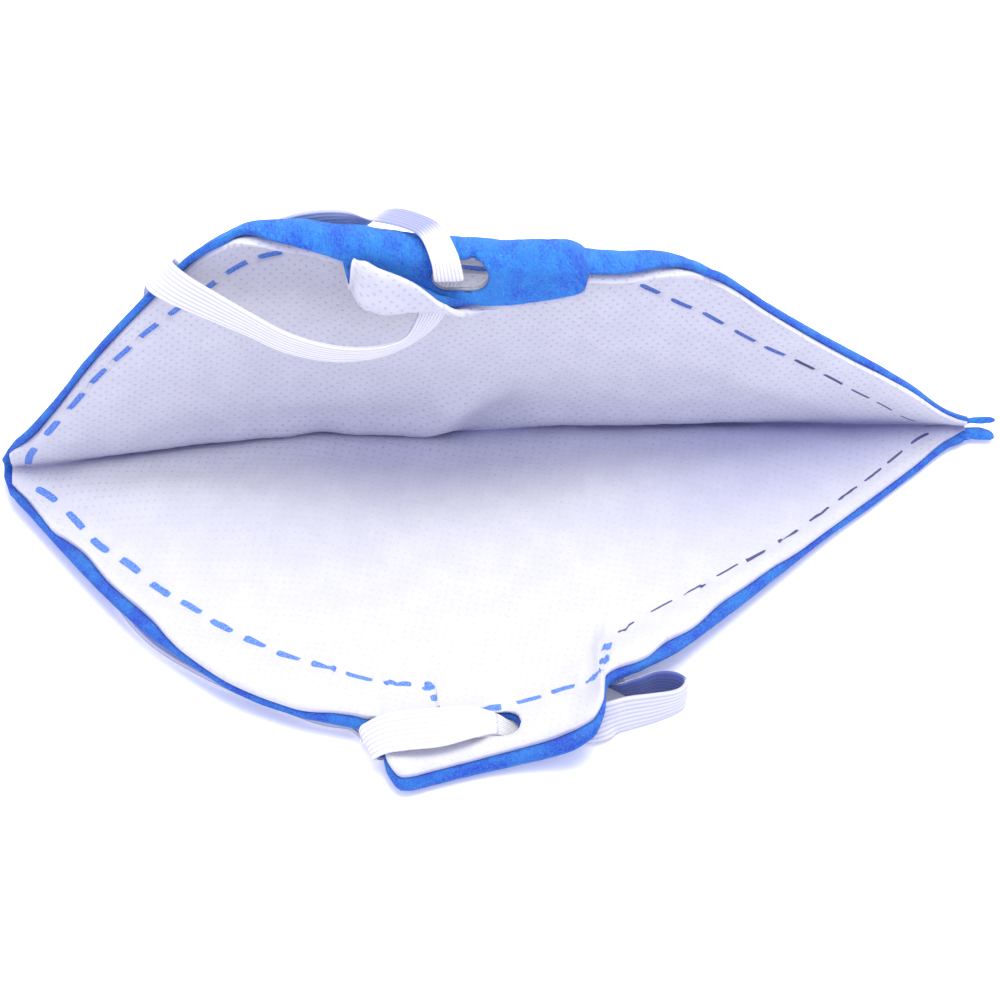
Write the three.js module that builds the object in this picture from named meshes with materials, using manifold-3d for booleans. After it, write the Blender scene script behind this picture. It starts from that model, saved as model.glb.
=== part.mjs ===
// Vertical fold-flat respirator mask, lying open on its lower panel.
//
// One sheet of needle felt is folded along a crease: the lower panel lies on the surface, the
// upper panel stands up behind it, and the mouth between them faces -Y. Each panel has a
// threading tab with an oval hole. The top of the upper panel is rolled over inwards as a flap.
// A filter and cover lining follows the felt on the inside. One loop of flat elastic runs
// through both holes.
//
// Millimetres, +X along the crease, +Z up. The origin is at the centre of the underside.

import * as THREE from 'three';
import { mergeVertices } from 'three/addons/utils/BufferGeometryUtils.js';
import Module from 'manifold-3d';

const wasm = await Module();
wasm.setup();

// ---------------------------------------------------------------- driving dimensions
// near and far: distances of a layer's two faces from the middle surface between the layers.
// rimTrim, flapTrim: how far a layer stops short of the outline, round the rim and on the flap.
const FELT = { near: 0.3, far: 2.1, rimTrim: -0.6, flapTrim: 1.8 };
const LINING = { near: 0.35, far: 1.4, rimTrim: 0.9, flapTrim: 0 };
const CREASE_RADIUS = 1.6;              // bend radii of the sheet's middle surface
const FOLD_RADIUS = 2.5;
const LIP_RADIUS = 2.4;
const PANEL_BOW = 18;                   // degrees the upper panel turns back over its height
const HUMP_END = 0.6;                   // share of the lower panel that is humped
const CURL_START = 0.72;                // share at which its free edge starts to curl up
const FLAP_TURN = { from: 40, to: 110 };   // turn of the fold between a rim and a flap
const MAX_CUT = 0.95;                   // part of one step that a trim may take
const HOLE = { length: 11.6, height: 6.6, depth: 8, sides: 20 };
const LOWER_HOLE = { x: -3.8, y: -76.2, depth: 24 };
const UPPER_HOLE = { x: -6.2, y: -12.4, z: 64.4, tilt: -22 };
const TAIL_SLIT = { x: 101.5, y: -4.6, reach: 9, half: 1.6, depth: 30 };
const STRAP = { thickness: 0.9, stepsPerPoint: 2 };
const LOOKS = {
  outer_shell: { color: 0x1e6ef0, roughness: 0.95 },
  inner_lining: { color: 0xe6e4fa, roughness: 0.85 },
  head_elastic: { color: 0xf0eefc, roughness: 0.8 },
};

// ---------------------------------------------------------------- section table
// One row per cross-section of the folded sheet, left to right.
// crease: y of the crease      lift: height of the underside above the surface
// hump: rise of the lower panel behind the middle      curl: rise of its free edge
// low: depth of the lower panel      up: length of the upper panel with its flap
// fold: length up to the fold      turn: degrees that the fold turns over
// lean: mean angle of the upper panel      lip, lipTurn: turned-out end of the flap
const COLUMNS = 'x crease lift hump curl low up fold turn lean lip lipTurn'.split(' ');
const SECTIONS = [
  [-101.3, -5.6, 2.2, 0.0, 0.6,  3.0,  3.0,  2.2,  10, 66.0, 0.0,   0],
  [-100.3, -5.8, 2.2, 0.1, 0.8,  5.2,  4.8,  3.8,  15, 68.0, 0.0,   0],
  [ -96.0, -6.0, 2.1, 0.5, 1.2, 11.0, 10.0,  8.4,  20, 71.0, 0.0,   0],
  [ -89.0, -5.4, 1.9, 1.1, 1.4, 21.5, 20.7, 18.8,  25, 75.0, 0.0,   0],
  [ -81.0, -4.2, 1.9, 1.8, 1.8, 33.8, 33.6, 31.2,  30, 79.0, 0.0,   0],
  [ -72.0, -2.6, 1.5, 2.4, 2.6, 46.4, 45.2, 42.4,  35, 82.0, 0.0,   0],
  [ -63.0, -1.0, 1.1, 2.9, 3.4, 56.6, 55.2, 52.2,  40, 84.0, 0.0,   0],
  [ -54.0,  0.6, 0.4, 3.2, 3.6, 65.4, 64.0, 60.0,  60, 85.0, 0.0,   0],
  [ -46.0,  2.0, 0.0, 3.4, 3.6, 71.0, 68.8, 62.8, 120, 86.0, 0.0,   0],
  [ -38.0,  2.6, 0.0, 3.5, 3.4, 74.7, 70.5, 62.2, 150, 86.0, 0.0,   0],
  [ -28.6,  1.7, 0.0, 3.5, 3.2, 76.2, 72.0, 62.2, 160, 85.0, 0.0,   0],
  [ -28.0,  1.6, 0.0, 3.5, 3.2, 76.2, 77.0, 62.2, 160, 85.0, 3.0,  70],
  [ -27.2,  1.6, 0.0, 3.5, 3.2, 76.2, 86.0, 62.2, 160, 85.0, 7.0, 150],
  [ -26.4,  1.5, 0.0, 3.5, 3.1, 76.2, 90.5, 62.2, 160, 85.0, 8.5, 172],
  [ -25.4,  1.4, 0.0, 3.5, 2.7, 81.0, 91.5, 62.2, 160, 85.0, 8.4, 172],
  [ -24.6,  1.3, 0.0, 3.5, 2.2, 86.0, 91.5, 62.1, 160, 85.0, 8.2, 172],
  [ -22.0,  1.0, 0.0, 3.5, 1.6, 89.2, 91.0, 62.0, 160, 84.5, 7.6, 172],
  [ -16.0,  0.5, 0.0, 3.5, 1.2, 87.5, 87.0, 61.8, 160, 84.0, 5.5, 160],
  [ -10.0,  0.1, 0.0, 3.5, 1.2, 85.7, 81.8, 61.4, 160, 83.5, 2.5, 130],
  [  -3.0, -0.3, 0.2, 3.5, 1.4, 84.1, 77.9, 61.2, 160, 83.0, 0.6,  50],
  [   4.0, -0.6, 0.5, 3.5, 2.4, 83.2, 76.2, 60.6, 160, 82.5, 0.0,   0],
  [  11.0, -0.9, 1.2, 3.4, 4.4, 82.8, 74.8, 60.0, 160, 82.5, 0.0,   0],
  [  15.0, -1.1, 1.6, 3.4, 6.8, 81.9, 73.0, 59.2, 160, 82.5, 0.0,   0],
  [  17.6, -1.3, 1.8, 3.4, 7.8, 77.0, 69.4, 57.6, 155, 82.5, 0.0,   0],
  [  18.8, -1.5, 1.9, 3.4, 6.4, 69.4, 64.6, 56.4, 130, 82.5, 0.0,   0],
  [  26.0, -1.9, 1.9, 3.2, 5.4, 64.8, 62.6, 54.8, 125, 83.0, 0.0,   0],
  [  34.0, -2.1, 1.9, 3.0, 3.8, 59.3, 59.4, 52.8, 115, 84.0, 0.0,   0],
  [  40.0, -2.1, 1.8, 2.7, 2.6, 54.0, 54.6, 49.8,  85, 84.0, 0.0,   0],
  [  47.0, -2.2, 1.6, 2.4, 1.8, 47.8, 47.6, 44.6,  30, 83.0, 0.0,   0],
  [  57.0, -2.6, 1.3, 2.0, 1.4, 38.7, 38.4, 36.4,  20, 80.5, 0.0,   0],
  [  68.0, -2.9, 0.6, 1.5, 1.2, 28.8, 28.6, 27.0,  15, 79.0, 0.0,   0],
  [  79.0, -3.4, 0.0, 1.0, 1.0, 19.6, 19.6, 18.4,  10, 76.5, 0.0,   0],
  [  89.0, -4.0, 0.0, 0.5, 0.7, 10.9, 11.0, 10.2,  10, 69.0, 0.0,   0],
  [  97.0, -4.6, 0.2, 0.2, 0.4,  4.4,  4.6,  4.0,  10, 56.0, 0.0,   0],
  [ 102.0, -5.0, 0.2, 0.0, 0.2,  2.8,  2.8,  2.2,  10, 46.0, 0.0,   0],
  [ 107.0, -5.2, 0.4, 0.0, 0.0,  2.6,  2.4,  1.8,  10, 42.0, 0.0,   0],
];

// Share of the lower panel's depth at each grid line, from the crease to the free edge.
const LOWER_LINES = [0.06, 0.2, 0.38, 0.52, 0.62, 0.7, 0.76, 0.82, 0.88, 0.94, 1];
const UPPER_STEPS = { crease: 4, panel: 6, fold: 5, flap: 3, lipBend: 3, lip: 2 };

// ---------------------------------------------------------------- elastic's route
// x, y, z of the ribbon's centre, the direction its width points in, and its width.
const STRAP_ROUTE = [
  // out of the lower hole and left over the tab
  [ -3.4, -76.3,  4.9,  0.00, 1.00, 0.10, 4.8],
  [ -8.0, -77.2,  7.1,  0.00, 1.00, 0.12, 7.0],
  [-14.5, -78.4,  7.6,  0.00, 1.00, 0.16, 8.5],
  [-20.6, -78.7, 7.5,  0.04, 1.00, 0.18, 8.5],
  [-24.8, -79.0,  7.1,  -0.05, 1.00, 0.14, 8.5],
  [-28.2, -79.4,  5.0,  -0.33, 0.94, 0.00, 8.0],
  [-27.4, -78.6, 2.0,  -0.55, 0.83, 0.00, 6.4],
  // left under the front edge, just peeping out
  [-27.2, -75.2, 0.75,  -0.95, 0.30, 0.00, 5.0],
  [-30.2, -70.2, 0.7,  -0.80, -0.60, 0.00, 7.2],
  [-36.5, -67.6,  0.7,  0.50, 1.00, 0.00, 8.5],
  [-44.5, -63.4,  0.7,  0.45, 1.00, 0.00, 8.5],
  [-53.0, -58.8,  0.7,  0.60, 1.00, 0.00, 8.5],
  [-61.0, -53.4,  0.7,  0.70, 1.00, 0.00, 8.5],
  [-68.2, -47.2,  0.7,  0.80, 1.00, 0.00, 8.5],
  [-73.6, -39.4,  0.7,  1.00, 0.70, 0.00, 8.5],
  [-77.4, -29.5,  0.7,  1.00, 0.35, 0.00, 8.5],
  [-79.6, -17.0,  0.7,  1.00, 0.10, 0.00, 8.5],
  [-80.4,  -3.0,  0.7,  1.00, 0.00, 0.00, 8.5],
  [-80.0,  10.0,  1.4,  1.00, -0.1, 0.05, 8.5],
  [-77.0,  18.0,  7.0,  1.00, -0.2, 0.20, 8.5],
  // up behind the upper panel
  [-71.0,  18.4, 19.0,  1.00, 0.00, 0.10, 8.5],
  [-66.8,  14.0, 33.0,  0.90, 0.00, 0.40, 8.5],
  [-65.2,   8.6, 45.0,  0.80, 0.00, 0.60, 8.5],
  [-65.2,   1.4, 55.4,  0.74, 0.02, 0.68, 8.0],
  // over the rim and down in a slack arc before the panel
  [-64.4,  -5.4, 60.9,  0.68, 0.06, 0.72, 7.6],
  [-60.8,  -9.6, 61.4,  0.58, 0.04, 0.80, 8.0],
  [-55.0, -11.8, 58.8,  0.42, -0.1, 0.90, 8.5],
  [-48.0, -13.6, 55.0,  0.22, -0.22, 0.95, 8.5],
  [-40.0, -16.0, 51.3,  0.10, -0.27, 0.96, 8.5],
  [-31.0, -17.2, 49.0,  0.00, -0.36, 0.93, 8.5],
  [-22.5, -16.8, 48.7, -0.10, -0.48, 0.86, 8.5],
  [-16.5, -15.2, 50.0, -0.20, -0.55, 0.80, 8.0],
  [-12.8, -13.2, 53.2, -0.60, -0.40, 0.70, 7.2],
  [-10.6, -10.4, 57.2, -0.95, -0.1, 0.30, 6.2],
  [ -8.9,  -8.7, 61.4, -1.00, 0.00, 0.10, 5.8],
  // forward through the flap's hole and up its face
  [ -8.5, -11.4, 64.0, -1.00, 0.00, 0.00, 5.8],
  [ -8.5, -14.4, 66.2, -1.00, 0.00, 0.00, 5.8],
  [ -9.2, -12.6, 70.2,  -1.00, 0.05, 0.00, 5.4],
  [-11.3,  -6.8, 71.3,  -0.95, -0.28, 0.00, 5.2],
  [-15.0,  -2.8, 70.6,  -0.70, -0.70, 0.12, 5.4],
  [-20.4,   0.8, 68.9,  -0.20, -0.86, 0.46, 7.2],
  [-26.0,   1.9, 66.8,  -0.02, -0.35, 0.93, 8.5],
  [-33.0,   2.8, 65.2,  0.05, 0.10, -1.0, 8.5],
  [-40.0,   4.4, 61.4,  0.40, 0.10, -0.95, 8.5],
  [-46.0,   6.0, 54.6,  0.80, 0.10, -0.6, 8.5],
  // down behind the panel and forward under the mask
  [-49.0,   8.4, 45.4,  1.00, 0.00, -0.3, 8.5],
  [-49.4,  10.8, 34.6,  1.00, 0.00, 0.00, 8.5],
  [-46.8,  12.8, 23.6,  1.00, 0.10, 0.30, 8.5],
  [-41.0,  14.6, 13.0,  0.80, 0.35, 0.60, 8.5],
  [-32.0,  16.0,  5.6,  0.40, 0.80, 0.35, 8.5],
  [-20.0,  16.4,  1.4,  0.10, 1.00, 0.05, 8.5],
  [ -6.0,  16.0,  0.7,  0.00, 1.00, 0.00, 8.5],
  [  8.0,  14.0,  0.7,  0.25, 1.00, 0.00, 8.5],
  [ 19.0,   8.6,  0.7,  0.60, 0.80, 0.00, 8.5],
  [ 26.5,  -0.6,  0.7,  0.90, 0.40, 0.00, 8.5],
  [ 29.4, -12.0, 0.7,  1.00, 0.10, 0.00, 8.5],
  [ 28.2, -26.0, 0.7,  1.00, -0.05, 0.00, 8.5],
  [ 24.6, -40.0, 0.7,  1.00, -0.20, 0.00, 8.5],
  [ 20.4, -51.0, 0.7,  1.00, -0.30, 0.00, 8.5],
  [ 18.3, -58.6, 0.7,  1.00, -0.10, 0.00, 8.5],
  // the hairpin beside the tab, standing on its edge
  [ 19.6, -64.0, 1.35,  0.94, 0.32, -0.16, 7.2],
  [ 21.4, -68.7,  3.5,  0.46, 0.30, -0.84, 6.6],
  [ 25.0, -69.7,  4.4,  0.03, 0.03, -1.00, 8.0],
  [ 29.0, -68.4,  4.5,  0.00, 0.05, -1.0, 8.5],
  [ 32.6, -69.0,  4.6,  0.00, 0.00, -1.0, 8.5],
  [ 34.7, -70.9,  4.6,  0.00, 0.00, -1.0, 8.5],
  [ 32.8, -72.9,  4.6,  0.00, 0.05, -1.0, 8.5],
  [ 28.0, -74.2,  4.5,  0.00, -0.12, -1.0, 8.5],
  [ 22.8, -75.2,  4.6,  0.00, -0.25, -1.0, 8.5],
  [ 19.0, -76.1,  4.2,  0.00, -0.34, -0.93, 8.2],
  [ 14.8, -76.6,  2.2,  0.00, -0.90, -0.43, 6.4],
  [ 10.4, -75.9,  1.2,  0.00, -1.00, -0.08, 5.6],
  [  4.6, -76.5,  0.8, 0.00, -1.0, -0.02, 5.4],
  [  0.8, -76.3,  0.9,  0.00, -1.0, 0.00, 4.8],
];

// ---------------------------------------------------------------- folded sheet
const radians = THREE.MathUtils.degToRad;
const smooth = THREE.MathUtils.smoothstep;
const REST_HEIGHT = FELT.far;           // the sheet's middle surface above the underside

function sectionRow(values) {
  return Object.fromEntries(COLUMNS.map((name, k) => [name, values[k]]));
}

function lowerPoint(row, share) {
  const hump = share < HUMP_END ? row.hump * Math.sin(Math.PI * share / HUMP_END) ** 2 : 0;
  const curl = row.curl * smooth(share, CURL_START, 1);
  return [row.crease - share * row.low, REST_HEIGHT + row.lift + hump + curl];
}

// Walks up from the crease: each leg has a length, a total turn and a number of steps.
function upperPoints(row) {
  const foot = row.lean - PANEL_BOW / 2;
  const rest = row.up - row.fold;
  const bend = Math.min(FOLD_RADIUS * radians(row.turn), 0.8 * rest);
  const left = rest - bend;
  const lipBend = Math.max(0.1, Math.min(LIP_RADIUS * radians(row.lipTurn), 0.4 * left));
  const lipTurn = Math.min(row.lipTurn, THREE.MathUtils.radToDeg(lipBend / LIP_RADIUS));
  const lip = Math.max(0.1, Math.min(row.lip, 0.45 * left));
  const legs = [
    [CREASE_RADIUS * radians(180 - foot), foot - 180, UPPER_STEPS.crease],
    [row.fold, PANEL_BOW, UPPER_STEPS.panel],
    [bend, -row.turn, UPPER_STEPS.fold],
    [Math.max(0.1, left - lipBend - lip), 0, UPPER_STEPS.flap],
    [lipBend, lipTurn, UPPER_STEPS.lipBend],
    [lip, 0, UPPER_STEPS.lip],
  ];
  const points = [];
  let [y, z] = lowerPoint(row, 0);
  let heading = 180;
  for (const [length, turn, steps] of legs) {
    for (let k = 0; k < steps; k += 1) {
      heading += turn / steps / 2;
      y -= Math.cos(radians(heading)) * length / steps;
      z += Math.sin(radians(heading)) * length / steps;
      heading += turn / steps / 2;
      points.push([y, z]);
    }
  }
  return points;
}

// Shortens an outline at its last point, or lengthens it where the distance is negative. The
// points past the cut are spaced evenly over the stretch before it.
function trimEnd(points, distance) {
  const kept = [...points];
  let last = kept.length - 1;
  let left = distance;
  while (last > 1 && left >= kept[last].distanceTo(kept[last - 1]) * MAX_CUT) {
    left -= kept[last].distanceTo(kept[last - 1]);
    last -= 1;
  }
  const from = kept[last - 1];
  const direction = kept[last].clone().sub(from);
  const reach = direction.length() - left;
  direction.normalize();
  const count = kept.length - last;
  for (let k = 0; k < count; k += 1) {
    kept[last + k] = from.clone().addScaledVector(direction, reach * (k + 1) / count);
  }
  return kept;
}

// Grid of the sheet's middle surface: grid[i][j], i along x, j from the lower edge round the
// crease to the end of the flap.
function sheetGrid(rows, layer) {
  return rows.map((row) => {
    const lower = [...LOWER_LINES].reverse().map((share) => lowerPoint(row, share));
    const profile = [...lower, lowerPoint(row, 0), ...upperPoints(row)];
    const outline = profile.map(([y, z]) => new THREE.Vector3(row.x, y, z));
    const flap = smooth(row.turn, FLAP_TURN.from, FLAP_TURN.to);
    const upperTrim = THREE.MathUtils.lerp(layer.rimTrim, layer.flapTrim, flap);
    const trimmed = trimEnd(outline, upperTrim);
    return trimEnd(trimmed.reverse(), layer.rimTrim).reverse();
  });
}

// Unit normals within each section that point to the inside of the fold.
function gridNormals(grid) {
  return grid.map((line) => line.map((point, j) => {
    const before = point.clone().sub(line[Math.max(j - 1, 0)]).normalize();
    const after = line[Math.min(j + 1, line.length - 1)].clone().sub(point).normalize();
    const along = before.add(after);
    return new THREE.Vector3(0, -along.z, along.y).normalize();
  }));
}

function offsetGrid(grid, normals, distance) {
  return grid.map((line, i) => line.map((p, j) => p.clone().addScaledVector(normals[i][j], distance)));
}

// Closes two facing grids into one slab with a rim.
function slab(front, back) {
  const columns = front.length;
  const lines = front[0].length;
  const positions = [...front.flat(), ...back.flat()].flatMap((p) => [p.x, p.y, p.z]);
  const index = [];
  const at = (side, i, j) => side * columns * lines + i * lines + j;
  const quad = (a, b, c, d) => index.push(a, b, c, a, c, d);
  for (let i = 0; i < columns - 1; i += 1) {
    for (let j = 0; j < lines - 1; j += 1) {
      quad(at(0, i, j), at(0, i + 1, j), at(0, i + 1, j + 1), at(0, i, j + 1));
      quad(at(1, i, j), at(1, i, j + 1), at(1, i + 1, j + 1), at(1, i + 1, j));
    }
  }
  for (let i = 0; i < columns - 1; i += 1) {
    quad(at(0, i, 0), at(1, i, 0), at(1, i + 1, 0), at(0, i + 1, 0));
    const j = lines - 1;
    quad(at(0, i, j), at(0, i + 1, j), at(1, i + 1, j), at(1, i, j));
  }
  for (let j = 0; j < lines - 1; j += 1) {
    quad(at(0, 0, j), at(0, 0, j + 1), at(1, 0, j + 1), at(1, 0, j));
    const i = columns - 1;
    quad(at(0, i, j), at(1, i, j), at(1, i, j + 1), at(0, i, j + 1));
  }
  const geometry = new THREE.BufferGeometry();
  geometry.setAttribute('position', new THREE.Float32BufferAttribute(positions, 3));
  geometry.setIndex(index);
  return geometry;
}

// ---------------------------------------------------------------- solids
function toSolid(geometry) {
  const bare = geometry.clone();
  bare.deleteAttribute('normal');
  bare.deleteAttribute('uv');
  const merged = mergeVertices(bare, 1e-4);
  return new wasm.Manifold(new wasm.Mesh({
    numProp: 3,
    vertProperties: Float32Array.from(merged.attributes.position.array),
    triVerts: Uint32Array.from(merged.index.array),
  }));
}

function toGeometry(solid) {
  const mesh = solid.getMesh();
  const geometry = new THREE.BufferGeometry();
  geometry.setAttribute('position', new THREE.Float32BufferAttribute(mesh.vertProperties, 3));
  geometry.setIndex(Array.from(mesh.triVerts));
  geometry.computeVertexNormals();
  return geometry;
}

// Prism with an oval section, standing along Z and centred on its own origin.
function ovalPrism({ length, height, depth, sides }) {
  const half = (length - height) / 2;
  const shape = new THREE.Shape();
  shape.absarc(half, 0, height / 2, -Math.PI / 2, Math.PI / 2);
  shape.absarc(-half, 0, height / 2, Math.PI / 2, 3 * Math.PI / 2);
  const curveSegments = sides / 4;
  const prism = new THREE.ExtrudeGeometry(shape, { depth, bevelEnabled: false, curveSegments });
  prism.translate(0, 0, -depth / 2);
  return prism;
}

const lowerHole = toSolid(ovalPrism({ ...HOLE, depth: LOWER_HOLE.depth })
  .translate(LOWER_HOLE.x, LOWER_HOLE.y, 0));
const upperHole = toSolid(ovalPrism(HOLE)
  .rotateX(radians(90 + UPPER_HOLE.tilt))
  .translate(UPPER_HOLE.x, UPPER_HOLE.y, UPPER_HOLE.z));

// Wedge that parts the felt's right end into two short tails.
function tailWedge() {
  const shape = new THREE.Shape();
  shape.moveTo(TAIL_SLIT.x, 0);
  shape.lineTo(TAIL_SLIT.x + TAIL_SLIT.reach, -TAIL_SLIT.half);
  shape.lineTo(TAIL_SLIT.x + TAIL_SLIT.reach, TAIL_SLIT.half);
  const wedge = new THREE.ExtrudeGeometry(shape, { depth: TAIL_SLIT.depth, bevelEnabled: false });
  wedge.translate(0, TAIL_SLIT.y, -TAIL_SLIT.depth / 2);
  return toSolid(wedge);
}

// One layer of the sheet between two distances from its middle surface, inwards positive.
function layerSolid(rows, layer, inner, outer) {
  const grid = sheetGrid(rows, layer);
  const normals = gridNormals(grid);
  const sheet = slab(offsetGrid(grid, normals, inner), offsetGrid(grid, normals, outer));
  return toSolid(sheet).subtract(lowerHole).subtract(upperHole);
}

const rows = SECTIONS.map(sectionRow);
const liningRows = rows.slice(1, -1);   // the felt reaches past the lining at both tips

const solids = {
  outer_shell: layerSolid(rows, FELT, -FELT.near, -FELT.far).subtract(tailWedge()),
  inner_lining: layerSolid(liningRows, LINING, LINING.far, LINING.near),
};

// ---------------------------------------------------------------- elastic
// Closed Catmull-Rom curve through the route, for the centre, the width direction and the width.
function strapGeometry() {
  const points = STRAP_ROUTE.map(([x, y, z, ...rest]) => ({
    centre: new THREE.Vector3(x, y, z),
    across: new THREE.Vector3(rest[0], rest[1], rest[2]).normalize(),
    width: rest[3],
  }));
  for (let k = 1; k < points.length; k += 1) {
    if (points[k].across.dot(points[k - 1].across) < 0) points[k].across.negate();
  }
  const count = points.length;
  const blend = (a, b, c, d, t) => 0.5 * (2 * b + (c - a) * t + (2 * a - 5 * b + 4 * c - d) * t * t
    + (3 * b - a - 3 * c + d) * t ** 3);
  const flipped = points[0].across.dot(points[count - 1].across) < 0 ? -1 : 1;
  const rings = [];
  for (let k = 0; k < count; k += 1) {
    const near = [-1, 0, 1, 2].map((step) => points[(k + step + count) % count]);
    const signs = [-1, 0, 1, 2].map((step) => (k + step < 0 || k + step >= count ? flipped : 1));
    for (let s = 0; s < STRAP.stepsPerPoint; s += 1) {
      const t = s / STRAP.stepsPerPoint;
      const mix = (read) => blend(...near.map((p, n) => read(p, signs[n])), t);
      rings.push({
        centre: new THREE.Vector3(
          mix((p) => p.centre.x),
          mix((p) => p.centre.y),
          mix((p) => p.centre.z),
        ),
        across: new THREE.Vector3(
          mix((p, sign) => sign * p.across.x),
          mix((p, sign) => sign * p.across.y),
          mix((p, sign) => sign * p.across.z),
        ),
        width: mix((p) => p.width),
      });
    }
  }
  const total = rings.length;
  const positions = [];
  for (let k = 0; k < total; k += 1) {
    const ring = rings[k];
    const along = rings[(k + 1) % total].centre.clone().sub(rings[(k - 1 + total) % total].centre);
    along.normalize();
    ring.across.addScaledVector(along, -ring.across.dot(along)).normalize();
    const face = along.clone().cross(ring.across);
    for (const [u, v] of [[-1, -1], [1, -1], [1, 1], [-1, 1]]) {
      const corner = ring.centre.clone()
        .addScaledVector(ring.across, u * ring.width / 2)
        .addScaledVector(face, v * STRAP.thickness / 2);
      positions.push(corner.x, corner.y, corner.z);
    }
  }
  // A half turn in the loop joins each corner to the one across the ribbon's centre.
  const seam = flipped < 0 ? 2 : 0;
  const index = [];
  for (let k = 0; k < total; k += 1) {
    const next = (k + 1) % total;
    const shift = next === 0 ? seam : 0;
    for (let c = 0; c < 4; c += 1) {
      const a = 4 * k + c;
      const b = 4 * k + (c + 1) % 4;
      const d = 4 * next + (c + shift) % 4;
      const e = 4 * next + (c + 1 + shift) % 4;
      index.push(a, b, e, a, e, d);
    }
  }
  const geometry = new THREE.BufferGeometry();
  geometry.setAttribute('position', new THREE.Float32BufferAttribute(positions, 3));
  geometry.setIndex(index);
  return geometry;
}

// ---------------------------------------------------------------- assembly
solids.head_elastic = toSolid(strapGeometry());

const body = solids.outer_shell.boundingBox();
const lining = solids.inner_lining.boundingBox();
const middle = [0, 1].map((axis) => (Math.min(body.min[axis], lining.min[axis])
  + Math.max(body.max[axis], lining.max[axis])) / 2);

const mask = new THREE.Group();
for (const [name, solid] of Object.entries(solids)) {
  const { color, roughness } = LOOKS[name];
  const material = new THREE.MeshStandardMaterial({ color, roughness, metalness: 0 });
  const mesh = new THREE.Mesh(toGeometry(solid), material);
  mesh.name = name;
  mesh.position.set(-middle[0], -middle[1], 0);
  mask.add(mesh);
}

export default mask;
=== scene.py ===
"""A vertical fold-flat respirator mask of needle felt, lying open on its lower panel.

The felt and its lining are two layers of one folded sheet, built from a table of cross-sections.
A loop of ribbed elastic runs through a hole in each tab. Lengths in the tables are millimetres;
SHIFT moves them to the frame's origin.
"""

from math import cos, pi, radians, sin

import bpy
import numpy as np
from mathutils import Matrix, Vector


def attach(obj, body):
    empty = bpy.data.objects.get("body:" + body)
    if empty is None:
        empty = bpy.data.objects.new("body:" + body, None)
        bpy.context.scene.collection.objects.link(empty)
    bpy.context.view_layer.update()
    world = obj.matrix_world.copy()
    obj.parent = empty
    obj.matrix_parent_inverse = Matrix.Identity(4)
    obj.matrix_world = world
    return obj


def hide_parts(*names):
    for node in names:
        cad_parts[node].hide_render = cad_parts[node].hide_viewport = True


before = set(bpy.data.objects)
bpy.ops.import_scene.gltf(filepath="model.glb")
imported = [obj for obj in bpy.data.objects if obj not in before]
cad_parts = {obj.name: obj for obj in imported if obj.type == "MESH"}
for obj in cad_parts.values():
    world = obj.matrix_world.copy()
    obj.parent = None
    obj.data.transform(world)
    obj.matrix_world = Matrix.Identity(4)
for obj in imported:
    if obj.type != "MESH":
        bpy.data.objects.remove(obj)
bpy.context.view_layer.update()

MM = 0.001
TINY = 1e-9  # keeps a vector without length from dividing by zero
SHIFT = np.array([-2.85, 41.306, 0.0])  # from the sheet's tables to the frame's origin

# ---- camera
CAMERA = {
    "azimuth": -3.5, "elevation": 50.0, "distance": 0.650, "lens": 109.98,
    "target": (-0.00285, 0.0413, 0.0), "shift": (0.012, -0.06),
}


def add_object(name, data):
    obj = bpy.data.objects.new(name, data)
    bpy.context.scene.collection.objects.link(obj)
    return obj


def add_camera():
    azimuth, elevation = radians(CAMERA["azimuth"]), radians(CAMERA["elevation"])
    away = Vector((sin(azimuth) * cos(elevation), -cos(azimuth) * cos(elevation), sin(elevation)))
    data = bpy.data.cameras.new("camera")
    data.lens = CAMERA["lens"]
    data.sensor_width = 36.0
    data.shift_x, data.shift_y = CAMERA["shift"]
    data.clip_start = 0.01
    camera = add_object("camera", data)
    camera.location = Vector(CAMERA["target"]) + away * CAMERA["distance"]
    camera.rotation_euler = away.to_track_quat("Z", "Y").to_euler()
    bpy.context.scene.camera = camera


add_camera()

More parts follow.
